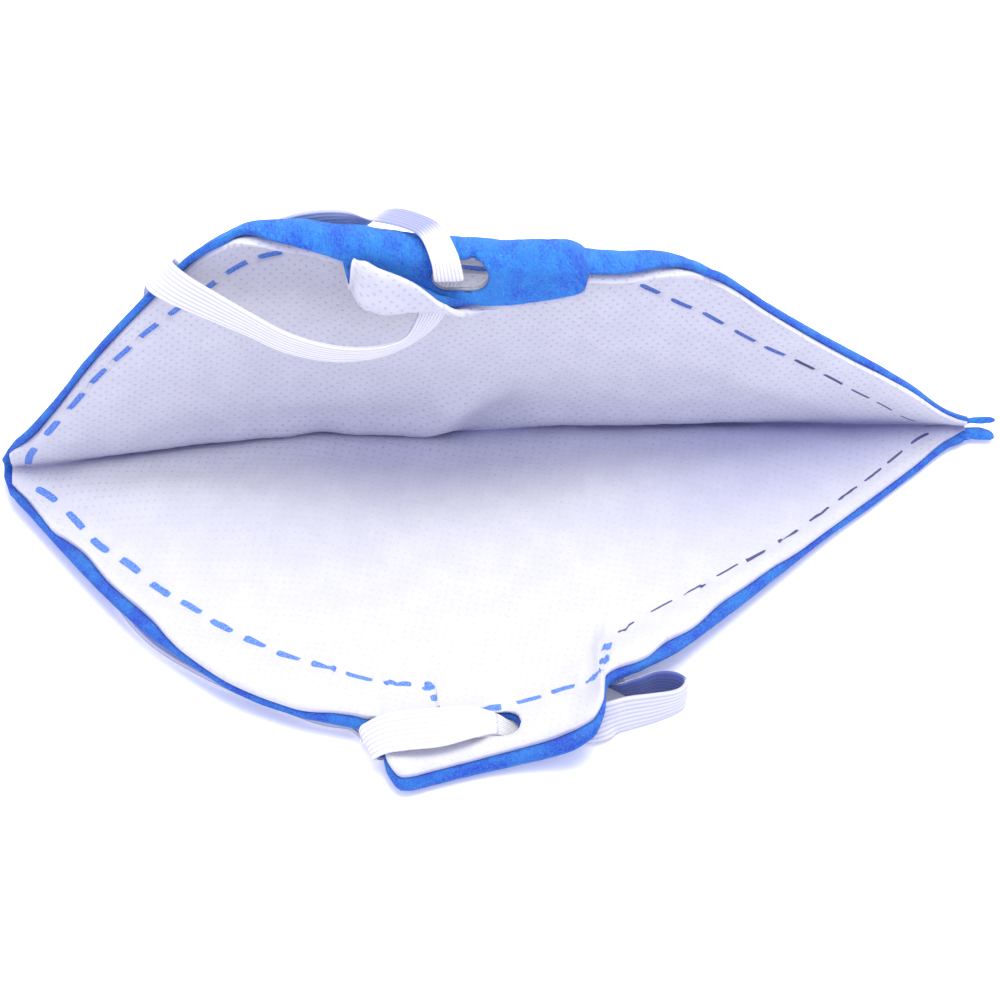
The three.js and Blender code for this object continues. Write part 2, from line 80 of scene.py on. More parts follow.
# ---- elastic
# x, y, z of the ribbon's centre, the direction its width points in, and its width where
# something gathers it.
STRAP_ROUTE = [
    # out of the lower hole and left over the tab
    (-3.4, -76.3, 4.9, 0, 1, 0.1, 4.8), (-8, -77.2, 7.1, 0, 1, 0.12, 7),
    (-14.5, -78.4, 7.6, 0, 1, 0.16), (-20.6, -78.7, 7.5, 0.04, 1, 0.18),
    (-24.8, -79, 7.1, -0.05, 1, 0.14), (-28.2, -79.4, 5, -0.33, 0.94, 0, 8),
    (-27.4, -78.6, 2, -0.55, 0.83, 0, 6.4),
    # left under the front edge, just peeping out
    (-27.2, -75.2, 0.75, -0.95, 0.3, 0, 5), (-30.2, -70.2, 0.7, -0.8, -0.6, 0, 7.2),
    (-36.5, -67.6, 0.7, 0.5, 1, 0), (-44.5, -63.4, 0.7, 0.45, 1, 0), (-53, -58.8, 0.7, 0.6, 1, 0),
    (-61, -53.4, 0.7, 0.7, 1, 0), (-68.2, -47.2, 0.7, 0.8, 1, 0), (-73.6, -39.4, 0.7, 1, 0.7, 0),
    (-77.4, -29.5, 0.7, 1, 0.35, 0), (-79.6, -17, 0.7, 1, 0.1, 0), (-80.4, -3, 0.7, 1, 0, 0),
    (-80, 10, 1.4, 1, -0.1, 0.05), (-77, 18, 7, 1, -0.2, 0.2),
    # up behind the upper panel
    (-71, 18.4, 19, 1, 0, 0.1), (-66.8, 14, 33, 0.9, 0, 0.4), (-65.2, 8.6, 45, 0.8, 0, 0.6),
    (-65.2, 1.4, 55.4, 0.74, 0.02, 0.68, 8),
    # over the rim and down in a slack arc before the panel
    (-64.4, -5.4, 60.9, 0.68, 0.06, 0.72, 7.6), (-60.8, -9.6, 61.4, 0.58, 0.04, 0.8, 8),
    (-55, -11.8, 58.8, 0.42, -0.1, 0.9), (-48, -13.6, 55, 0.22, -0.22, 0.95),
    (-40, -16, 51.3, 0.1, -0.27, 0.96), (-31, -17.2, 49, 0, -0.36, 0.93),
    (-22.5, -16.8, 48.7, -0.1, -0.48, 0.86), (-16.5, -15.2, 50, -0.2, -0.55, 0.8, 8),
    (-12.8, -13.2, 53.2, -0.6, -0.4, 0.7, 7.2), (-10.6, -10.4, 57.2, -0.95, -0.1, 0.3, 6.2),
    (-8.9, -8.7, 61.4, -1, 0, 0.1, 5.8),
    # forward through the flap's hole and up its face
    (-8.5, -11.4, 64, -1, 0, 0, 5.8), (-8.5, -14.4, 66.2, -1, 0, 0, 5.8),
    (-9.2, -12.6, 70.2, -1, 0.05, 0, 5.4), (-11.3, -6.8, 71.3, -0.95, -0.28, 0, 5.2),
    (-15, -2.8, 70.6, -0.7, -0.7, 0.12, 5.4), (-20.4, 0.8, 68.9, -0.2, -0.86, 0.46, 7.2),
    (-26, 1.9, 66.8, -0.02, -0.35, 0.93), (-33, 2.8, 65.2, 0.05, 0.1, -1),
    (-40, 4.4, 61.4, 0.4, 0.1, -0.95), (-46, 6, 54.6, 0.8, 0.1, -0.6),
    # down behind the panel and forward under the mask
    (-49, 8.4, 45.4, 1, 0, -0.3), (-49.4, 10.8, 34.6, 1, 0, 0), (-46.8, 12.8, 23.6, 1, 0.1, 0.3),
    (-41, 14.6, 13, 0.8, 0.35, 0.6), (-32, 16, 5.6, 0.4, 0.8, 0.35),
    (-20, 16.4, 1.4, 0.1, 1, 0.05), (-6, 16, 0.7, 0, 1, 0), (8, 14, 0.7, 0.25, 1, 0),
    (19, 8.6, 0.7, 0.6, 0.8, 0), (26.5, -0.6, 0.7, 0.9, 0.4, 0), (29.4, -12, 0.7, 1, 0.1, 0),
    (28.2, -26, 0.7, 1, -0.05, 0), (24.6, -40, 0.7, 1, -0.2, 0), (20.4, -51, 0.7, 1, -0.3, 0),
    (18.3, -58.6, 0.7, 1, -0.1, 0),
    # the hairpin beside the tab, standing on its edge
    (19.6, -64, 1.35, 0.94, 0.32, -0.16, 7.2), (21.4, -68.7, 3.5, 0.46, 0.3, -0.84, 6.6),
    (25, -69.7, 4.4, 0.03, 0.03, -1, 8), (29, -68.4, 4.5, 0, 0.05, -1),
    (32.6, -69, 4.6, 0, 0, -1), (34.7, -70.9, 4.6, 0, 0, -1), (32.8, -72.9, 4.6, 0, 0.05, -1),
    (28, -74.2, 4.5, 0, -0.12, -1), (22.8, -75.2, 4.6, 0, -0.25, -1),
    (19, -76.1, 4.2, 0, -0.34, -0.93, 8.2), (14.8, -76.6, 2.2, 0, -0.9, -0.43, 6.4),
    (10.4, -75.9, 1.2, 0, -1, -0.08, 5.6), (4.6, -76.5, 0.8, 0, -1, -0.02, 5.4),
    (0.8, -76.3, 0.9, 0, -1, 0, 4.8),
]
STRAP_FULL = 8.5  # the ribbon's width where nothing gathers it
STRAP = {
    "thickness": 0.9, "steps": 9, "length": 0.600, "across": 40, "edge_power": 8,
    "ribs": 8, "rib_depth": 0.12, "ribbed": 0.97, "most_gather": 0.6, "thickening": 0.5,
}
# Stretches with painted shade and a painted blue reflection of the felt beside them: rows, the
# side's way out, strength.
STRAP_SHADED = [
    (59.2, 64.5, (0, -1, 0.2), 0.95), (65.3, 69.6, (0, -1, 0.2), 0.2),
    (38.4, 40.4, (0, -0.77, 0.64), 0.62), (41.8, 44.5, (0, -0.77, 0.64), 0.16),
    (2, 5.6, (0, 0, 1), 0.07),
]
SHADE_EASE = 0.8  # rows over which a tint comes and goes
SHADE_FACING = (-0.05, 0.3)  # how squarely a side has to face that way to have none, or all


def unit(vectors, least=0.0):
    return vectors / (np.linalg.norm(vectors, axis=-1, keepdims=True) + least)


def run_along(points):
    """How far along its line each point lies."""
    steps = np.linalg.norm(np.diff(points, axis=-2), axis=-1)
    return np.concatenate([0 * steps[..., :1], np.cumsum(steps, axis=-1)], axis=-1)


def catmull_rom(before, a, b, after, t):
    return 0.5 * (2 * a + (b - before) * t + (2 * before - 5 * a + 4 * b - after) * t ** 2
                  + (3 * a - before - 3 * b + after) * t ** 3)


def through(rows, steps):
    """Rows on a smooth curve through all but the first and last, which only guide it."""
    return [catmull_rom(*rows[k:k + 4], t / steps)
            for k in range(len(rows) - 3) for t in range(steps)]


def strap_rings():
    """Centres, width directions, face normals and widths along the closed loop."""
    route = np.array([row if len(row) == 7 else (*row, STRAP_FULL) for row in STRAP_ROUTE], float)
    route[:, 3:6] = unit(route[:, 3:6])
    for k in range(1, len(route)):
        if route[k, 3:6] @ route[k - 1, 3:6] < 0:
            route[k, 3:6] *= -1
    flipped = route[0, 3:6] @ route[-1, 3:6] < 0
    joined = route.copy()
    joined[:, 3:6] *= -1 if flipped else 1
    rings = np.array(through(np.vstack([joined[-1:], route, joined[:2]]), STRAP["steps"]))
    centre, across, width = rings[:, :3], rings[:, 3:6], rings[:, 6]
    along = unit(np.roll(centre, -1, 0) - np.roll(centre, 1, 0))
    across = unit(across - (across * along).sum(1, keepdims=True) * along)
    return centre, across, np.cross(along, across), width, flipped


def mesh_object(name, points, faces, material):
    """A smooth-shaded mesh from points in table millimetres."""
    mesh = bpy.data.meshes.new(name)
    mesh.from_pydata(((points + SHIFT) * MM).tolist(), [], [list(f) for f in faces])
    mesh.polygons.foreach_set("use_smooth", [True] * len(mesh.polygons))
    mesh.update()
    mesh.materials.append(material)
    return add_object(name, mesh)


def add_attribute(obj, name, values):
    """A float or vector attribute on the points."""
    values = np.asarray(values, np.float32)
    kind, field = ("FLOAT", "value") if values.ndim == 1 else ("FLOAT_VECTOR", "vector")
    attribute = obj.data.attributes.new(name, kind, "POINT")
    attribute.data.foreach_set(field, values.ravel())


def build_strap(material):
    centre, across, face, width, flipped = strap_rings()
    count, sides = len(centre), STRAP["across"]
    # outline of the ribbon: u across it, from -1 to 1, and v towards either face
    half = sides // 2
    u_top = np.linspace(1, -1, half)
    u = np.concatenate([u_top, -u_top])
    edge = np.sqrt(np.clip(1 - np.abs(u) ** STRAP["edge_power"], 0, 1))
    rib = 0.5 - 0.5 * np.cos(pi * (u + 1) * STRAP["ribs"])
    groove = STRAP["rib_depth"] * (1 - rib) * (np.abs(u) < STRAP["ribbed"])
    v = edge * (STRAP["thickness"] / 2 - groove)
    v[half:] *= -1
    gather = np.clip((STRAP_FULL - width) / STRAP_FULL, 0, STRAP["most_gather"])
    swell = 1 + STRAP["thickening"] * gather[:, None]
    points = (centre[:, None]
              + across[:, None] * (u[None, :, None] * width[:, None, None] / 2)
              + face[:, None] * (v[None, :] * swell)[..., None])
    faces = []
    for k in range(count):
        turn = half if flipped and k == count - 1 else 0
        this, following = k * sides, (k + 1) % count * sides
        faces += [(this + c, this + (c + 1) % sides, following + (c + 1 + turn) % sides,
                   following + (c + turn) % sides) for c in range(sides)]
    obj = mesh_object("elastic_loop", points.reshape(-1, 3), faces, material)
    rows = np.arange(count)[:, None] / STRAP["steps"]
    shaded = np.zeros((count, sides))
    out = face[:, None] * np.where(np.arange(sides) < half, 1, -1)[:, None]
    # painted shade, with the felt's painted blue reflection, on the listed stretches
    for first, last, toward, strength in STRAP_SHADED:
        side = smooth(out @ np.array(toward), *SHADE_FACING)
        starting = smooth(rows, first - SHADE_EASE, first)
        shaded += strength * side * starting * smooth(rows, last + SHADE_EASE, last)
    ribbon = np.broadcast_arrays(run_along(centre)[:, None], u * STRAP_FULL / 2, shaded)
    add_attribute(obj, "ribbon", np.stack(ribbon, -1).reshape(-1, 3))
    return obj, (centre + SHIFT) * MM


# ---- folded sheet
# crease: y of the crease; lift: height of the underside above the surface; hump: rise of the
# lower panel behind the middle; curl: rise of its free edge; low: its depth; up: length of the
# upper panel with its flap; fold: length up to the fold; turn: degrees that the fold turns over;
# lean: mean angle of the upper panel; lip, lip_turn: turned-out end of the flap, where it has one
COLUMNS = "x crease lift hump curl low up fold turn lean lip lip_turn".split()
SECTIONS = [
    (-101.3, -5.6, 2.2, 0, 0.6, 3, 3, 2.2, 10, 66),
    (-100.3, -5.8, 2.2, 0.1, 0.8, 5.2, 4.8, 3.8, 15, 68),
    (-96, -6, 2.1, 0.5, 1.2, 11, 10, 8.4, 20, 71),
    (-89, -5.4, 1.9, 1.1, 1.4, 21.5, 20.7, 18.8, 25, 75),
    (-81, -4.2, 1.9, 1.8, 1.8, 33.8, 33.6, 31.2, 30, 79),
    (-72, -2.6, 1.5, 2.4, 2.6, 46.4, 45.2, 42.4, 35, 82),
    (-63, -1, 1.1, 2.9, 3.4, 56.6, 55.2, 52.2, 40, 84),
    (-54, 0.6, 0.4, 3.2, 3.6, 65.4, 64, 60, 60, 85),
    (-46, 2, 0, 3.4, 3.6, 71, 68.8, 62.8, 120, 86),
    (-38, 2.6, 0, 3.5, 3.4, 74.7, 70.5, 62.2, 150, 86),
    (-28.6, 1.7, 0, 3.5, 3.2, 76.2, 72, 62.2, 160, 85),
    (-28, 1.6, 0, 3.5, 3.2, 76.2, 76.5, 62.2, 160, 85, 2.4, 70),
    (-27.2, 1.6, 0, 3.5, 3.2, 76.2, 84.6, 62.2, 160, 85, 5.6, 150),
    (-26.4, 1.5, 0, 3.5, 3.1, 76.2, 88.9, 62.2, 160, 85, 7, 172),
    (-25.4, 1.4, 0, 3.5, 2.7, 81, 90.5, 62.2, 160, 85, 7.6, 172),
    (-24.6, 1.3, 0, 3.5, 2.2, 86, 91.5, 62.1, 160, 85, 8.2, 172),
    (-22, 1, 0, 3.5, 1.6, 89.2, 91, 62, 160, 84.5, 7.6, 172),
    (-16, 0.5, 0, 3.5, 1.2, 87.5, 87, 61.8, 160, 84, 5.5, 160),
    (-10, 0.1, 0, 3.5, 1.2, 85.7, 81.8, 61.4, 160, 83.5, 2.5, 130),
    (-3, -0.3, 0.2, 3.5, 1.4, 84.1, 77.9, 61.2, 160, 83, 0.6, 50),
    (4, -0.6, 0.5, 3.5, 2.4, 83.2, 76.2, 60.6, 160, 82.5),
    (11, -0.9, 1.2, 3.4, 4.4, 82.8, 74.8, 60, 160, 82.5),
    (15, -1.1, 1.6, 3.4, 6.8, 81.9, 73, 59.2, 160, 82.5),
    (17.6, -1.3, 1.8, 3.4, 7.8, 77, 69.4, 57.6, 155, 82.5),
    (18.8, -1.5, 1.9, 3.4, 6.4, 69.4, 64.6, 56.4, 130, 82.5),
    (26, -1.9, 1.9, 3.2, 5.4, 64.8, 62.6, 54.8, 125, 83),
    (34, -2.1, 1.9, 3, 3.8, 59.3, 59.4, 52.8, 115, 84),
    (40, -2.1, 1.8, 2.7, 2.6, 54, 54.6, 49.8, 85, 84),
    (47, -2.2, 1.6, 2.4, 1.8, 47.8, 47.6, 44.6, 30, 83),
    (57, -2.6, 1.3, 2, 1.4, 38.7, 38.4, 36.4, 20, 80.5),
    (68, -2.9, 0.6, 1.5, 1.2, 28.8, 28.6, 27, 15, 79),
    (79, -3.4, 0, 1, 1, 19.6, 19.6, 18.4, 10, 76.5),
    (89, -4, 0, 0.5, 0.7, 10.9, 11, 10.2, 10, 69),
    (97, -4.6, 0.2, 0.2, 0.4, 4.4, 4.6, 4, 10, 56),
    (102, -5, 0.2, 0, 0.2, 2.8, 2.8, 2.2, 10, 46),
    (107, -5.2, 0.4, 0, 0, 2.6, 2.4, 1.8, 10, 42),
]
# Each layer: its faces along the sheet's normal, how far it stops short of the flap's end, its
# first and last x, how far its rim bulges, and by x how far it stops short of the lower and the
# upper panel's edge.
FELT = {
    "inner": -0.3, "outer": -2.1, "flap": 1.8, "first": -101.5, "last": 101.0, "bulge": 0.3,
    "rim": [(-101.5, 1.5), (-101, 0.7), (-100, 0), (-98, -0.6), (94, -0.6), (98, 0), (101, 0.8)],
    "rim_up": [
        (-101.5, 3.6), (-101, 2.9), (-100.2, 1.9), (-99, 0.8), (-97, -0.4), (-94, -1.4),
        (-91, -2), (-87, -2), (-82, -1.7), (-77, -1), (-72, -0.6), (36, -0.6), (50, -1),
        (60, -1.3), (75, -1.7), (88, -1.8), (93, -1.1), (97, 0.3), (99, 1.5), (101, 3),
    ],
}
LINING = {
    "inner": 1.4, "outer": 0.35, "flap": 0.0, "first": -99.8, "last": 101.0, "bulge": 0.12,
    "rim": [
        (-99.8, 2.2), (-98.6, 2.2), (-97, 2.3), (-94, 1.5), (-91, 0.8), (-88, 2.6), (-84, 4.3),
        (-79, 2.9), (-73, 3.3), (-70, 2.8), (-67, 1), (-64, 0), (-58, -0.3), (-50, -0.2),
        (-43, -0.3), (-38, 0.2), (-34, 0.9), (-31, 1.1), (-28, 0.7), (-24, 1.1), (-20, 1.3),
        (-10, 1.4), (-1, 1.8), (8, 2.3), (11, 2.7), (15, 2.3), (18, 1.2), (22, 0.8), (27, 0.5),
        (32, 2.1), (38, 1.3), (44, 2.3), (50, 1.7), (56, 1.2), (59, 0.5), (63, 0), (70, -0.1),
        (77, 0.2), (86, 0.1), (92, 0.4), (97, 1.2), (101, 2.4),
    ],
    "rim_up": [
        (-99.8, 3.2), (-98.8, 2.2), (-97, 1.6), (-94, 1.6), (-91, 0.6), (-89, 0.2), (-86, 0),
        (-82, 0.3), (-78, 0.5), (-70, 0.9), (-60, 1.2), (-40, 0.9), (30, 0.9), (42, 0.5),
        (50, -0.4), (60, -0.6), (75, -0.8), (82, -1.4), (88, -2), (93, -1.7), (97, -0.5),
        (99.5, 0.9), (101, 1.9),
    ],
}
CREASE_RADIUS, FOLD_RADIUS, LIP_RADIUS = 1.6, 2.5, 2.4
REST_HEIGHT = 2.1  # of the sheet's middle above the surface it lies on
PANEL_BOW = 18.0  # degrees that the upper panel curves over
HUMP_END, CURL_START = 0.6, 0.72  # shares of the lower panel's depth
FOLDED = (40, 110)  # turns of the fold, in degrees, that leave an open rim or make a full flap
HOLE = {"length": 11.6, "height": 6.6, "margin": 3}
LOWER_HOLE = {"x": -3.8, "y": -76.2, "beyond": 60}
UPPER_HOLE = {"x": -6.2, "y": -12.4, "z": 64.4, "tilt": -22.0, "reach": 4.0}
EASE_WIDTH = (8, 40)  # panel widths that have no dents, or full ones
# How the sheet thins towards its tips: x, and the share of its thickness.
THINNING = [
    (-101.5, 0.4), (-100, 0.7), (-98, 0.9), (-90, 1), (86, 1), (95, 0.75), (101.6, 0.55),
]
# The felt's two tails at the right: points, half width and half thickness.
TAILS = [
    [(99.6, -6.3, 1.7, 1.2, 0.6), (100.6, -6.1, 1.8, 1.6, 0.85), (102.2, -5.9, 1.9, 1.5, 0.9),
     (104.4, -6.1, 1.8, 1.5, 0.95), (106, -6.5, 1.7, 1.25, 0.9), (107, -6.8, 1.6, 0.7, 0.6)],
    [(99.8, -4.9, 4.2, 0.4, 0.4), (100.8, -4.7, 4.3, 0.6, 0.5), (102.2, -4.5, 4.4, 0.6, 0.6),
     (104.4, -4.6, 4.4, 0.75, 0.7), (106, -4.7, 4.5, 0.7, 0.65), (107.2, -4.9, 4.6, 0.4, 0.4)],
]

# Marks of the weld line: x, distance from the crease, length, half width. A mark without length
# only guides the line.
MARKS_LOWER = [
    (-92.4, 7.9, 6, 0.78), (-86.4, 15.8, 6, 0.78), (-81.4, 23.4, 5.6, 0.78),
    (-75, 29.8, 5.8, 0.78), (-69, 37.5, 5.8, 0.78), (-62.7, 43.1, 5.6, 0.78),
    (-56.7, 49.3, 5.8, 0.78), (-50, 55.1, 5.4, 0.76), (-43.4, 60, 5.4, 0.74),
    (-36.4, 63.3, 5.4, 0.74), (-29.5, 65.6, 5.4, 0.7), (-22.1, 66, 5.2, 0.65),
    (-15.8, 66.4, 2.8, 1.2), (-14.9, 69.8, 1.4, 0.6), (-14.6, 72.6, 1.3, 0.5),
    (-4.2, 72.4, 5.2, 0.8), (3.8, 70.7, 5.4, 0.7), (10.5, 69.6, 4.8, 0.7),
    (16.8, 69.9, 4.6, 0.7), (19, 66, 2.2, 0.95), (19.7, 61.9, 2.4, 0.95), (24.1, 55.8, 5.4, 0.3),
    (31.8, 49.5, 6, 0.28), (39.1, 45, 6.2, 0.26), (46.1, 40.4, 6.2, 0.26),
    (52.4, 36.3, 5.8, 0.28), (59.7, 31.2, 6.2, 0.3), (67, 25.2, 6.4, 0.32),
    (73.7, 19.2, 6.2, 0.32), (79.7, 14, 5.8, 0.3), (85, 9.1, 5.4, 0.3), (90.7, 3.8, 5.2, 0.28),
]
MARKS_UPPER = [
    (-97.3, 1.6, 0, 0.2), (-95.6, 8.6, 8.6, 0.8), (-89.7, 19.5, 5.8, 0.78),
    (-84, 27.4, 5.8, 0.78), (-79, 33.9, 5.2, 0.76), (-73.7, 39.3, 5.2, 0.76),
    (-68, 45, 5.2, 0.76), (-61.7, 50, 5.2, 0.74), (-55.4, 55, 3.4, 0.8), (-49.8, 58.7, 5, 0.7),
    (-43, 60.8, 5.2, 0.8), (-35, 61.4, 5.2, 0.8), (-27, 61.4, 5.2, 0.8), (-19, 61.2, 5.2, 0.8),
    (-11, 60.8, 5.2, 0.8), (-3, 60.2, 5.2, 0.8), (5, 59.6, 5.2, 0.8), (13, 58.7, 5.2, 0.7),
    (19.4, 57.4, 4.6, 0.6), (25.8, 54.8, 5.2, 0.55), (31.8, 50.2, 5.4, 0.55),
    (38.4, 45.1, 5.6, 0.55), (45.1, 40.4, 5.6, 0.55), (51.8, 35.4, 5.6, 0.55),
    (58.2, 31, 5.6, 0.55), (64.7, 26.4, 5.6, 0.45), (71, 21.5, 5.6, 0.36),
    (77.2, 16.7, 5.4, 0.28), (82.8, 12.3, 5.2, 0.24), (88.4, 6.6, 5, 0.22),
]
WELD_START, WELD_END, WELD_TIP = (-101, 2), (96, 1.2), (107, 1)  # x, distance from the crease
WELD = {
    "zone": 1.9, "depth": 0.75, "groove": 0.4, "groove_half": 3.0, "near": 7.0, "far": 99.0,
    "step": 0.1, "guide": (0, 0.2), "most_halves": 30, "soft_edge": (1.25, 0.8),
    "first_beat": 0.8,
}
# Where lines lie over the weld, in shares of its zone, how many there are elsewhere, and how
# many legs each bend or flat stretch of a section has.
WELD_LINES = np.array([-0.72, -0.52, -0.38, -0.16, 0.16, 0.38, 0.52, 0.72, 1.0])[:, None]
LINES = {"panel": 27, "low_rim": 16, "fold_rim": 5}
LEGS = {"crease": 8, "fold": 10, "flap": 20, "lip_bend": 8, "lip": 5}
COLUMN_STEP, COLUMN_LEAST = 0.72, 0.17  # the usual step between columns, and the least
COLUMNS_CLOSE = [(-29.2, -23.8, 0.2), (16.8, 20.0, 0.2), (-16.4, -13.4, 0.3)]  # from, to, step

# Ridges along the crease: distance from it, half width, and height at each x.
RIDGES = [
    (6.0, 3.2, [(-98, 0), (-90, 0.5), (-75, 1.2), (-58, 2), (-42, 2.9), (-34, 2.3), (-26, 2.8),
                (-15, 2.4), (-9, 1.2), (0, 0.5), (14, 1.2), (40, 1.4), (62, 0.8), (80, 0.6),
                (94, 0)]),
    (-4.5, 2.8, [(-96, 0), (-84, 0.7), (-60, 0.6), (-40, 0.9), (-12, 1.1), (4, 0.7), (40, 0.9),
                 (75, 0.6), (92, 0)]),
]
# Swellings and dents: centre x, distance from the crease (lower panel negative), two radii,
# turn in degrees, height.
SWELLINGS = [
    (-38, 14, 16, 8, 8, 1.6), (-8, 12, 4.5, 10, -34, 2.6), (3, 10, 5, 9, -34, -1.9),
    (40, 9, 22, 7, 0, 0.8), (-70, 12, 12, 7, 10, 1), (-30, 34, 20, 6, -12, 0.6),
    (48, 24, 18, 5, -25, 0.5), (-50, -20, 18, 6, -20, 0.7), (20, -22, 20, 7, 15, 0.5),
    (-70, -16, 10, 6, -25, 0.5), (-14, -72, 2.2, 6, -8, 0.8), (14, -66, 8, 2.6, 50, 0.8),
    (-88, -13, 3, 7, -50, 0.6), (-92, 9, 2.5, 8, 50, 0.7), (-62, 40, 4, 12, 20, 0.4),
    (66, 14, 14, 3, -30, 0.5),
]
DOTS = {"pitch": 2.3, "upper_turn": -7.0, "lower_turn": 32.0}
# Painted shade of the lining near the crease, bluish violet: x, strength and reach below the
# crease, strength above it, and strength of the painted dark line of shade along the crease itself.
CREASE_SHADE = np.array([
    (-100, 0.05, 10, 0.08, 0.2), (-70, 0.14, 14, 0.22, 0.75), (-50, 0.22, 18, 0.3, 0.9),
    (-20, 0.28, 20, 0.3, 0.9), (0, 0.3, 22, 0.22, 0.6), (20, 0.42, 26, 0.26, 0.5),
    (40, 0.62, 30, 0.32, 0.4), (60, 0.74, 26, 0.4, 0.45), (75, 0.74, 20, 0.46, 0.45),
    (95, 0.4, 10, 0.34, 0.3),
])
CREASE_REACH_UP, CREASE_LINE, MOST_SHADE = 9, 1.5, 0.95


def monotone(xs, ys, at):
    """Monotone cubic through the points, held flat beyond them."""
    xs, ys = np.asarray(xs, float), np.asarray(ys, float)
    gap = np.diff(xs)
    slope = np.diff(ys) / gap
    tangent = np.zeros(len(xs))
    same = slope[:-1] * slope[1:] > 0
    with np.errstate(divide="ignore", invalid="ignore"):
        mean = 2 / (1 / slope[:-1] + 1 / slope[1:])
    tangent[1:-1] = np.where(same, mean, 0)
    tangent[0], tangent[-1] = slope[0], slope[-1]
    at = np.clip(at, xs[0], xs[-1])
    k = np.clip(np.searchsorted(xs, at, side="right") - 1, 0, len(xs) - 2)
    t = (at - xs[k]) / gap[k]
    return ((2 * t ** 3 - 3 * t ** 2 + 1) * ys[k] + (t ** 3 - 2 * t ** 2 + t) * gap[k] * tangent[k]
            + (3 * t ** 2 - 2 * t ** 3) * ys[k + 1] + (t ** 3 - t ** 2) * gap[k] * tangent[k + 1])


def smooth(value, low, high):
    t = np.clip((value - low) / (high - low), 0, 1)
    return t * t * (3 - 2 * t)


def columns_between(first, last):
    """Places of the columns along x, closer together where the outline steps."""
    base = np.arange(first, last, COLUMN_STEP)
    close = [np.arange(*zone) for zone in COLUMNS_CLOSE]
    every = np.unique(np.round(np.concatenate([base, [last], *close]), 3))
    keep = [every[0]]
    for x in every[1:]:
        if x - keep[-1] > COLUMN_LEAST:
            keep.append(x)
    keep[-1] = last
    return np.array(keep)


def lines_across(weld, spread, edge, rim_count):
    """Distances of lines from the crease to the weld, over its zone and on to the edge."""
    panel = np.linspace(0, 1, LINES["panel"])[1:, None]
    rim = np.linspace(0, 1, rim_count)[1:, None]
    return np.concatenate([panel * (weld - spread)[None], weld[None] + WELD_LINES * spread[None],
                           (weld + spread)[None] + rim * (edge - weld - spread)[None]])


def evenly(length, turn, count):
    """A bend or a flat stretch as equal legs of a walk."""
    return [(length / count, turn / count)] * count


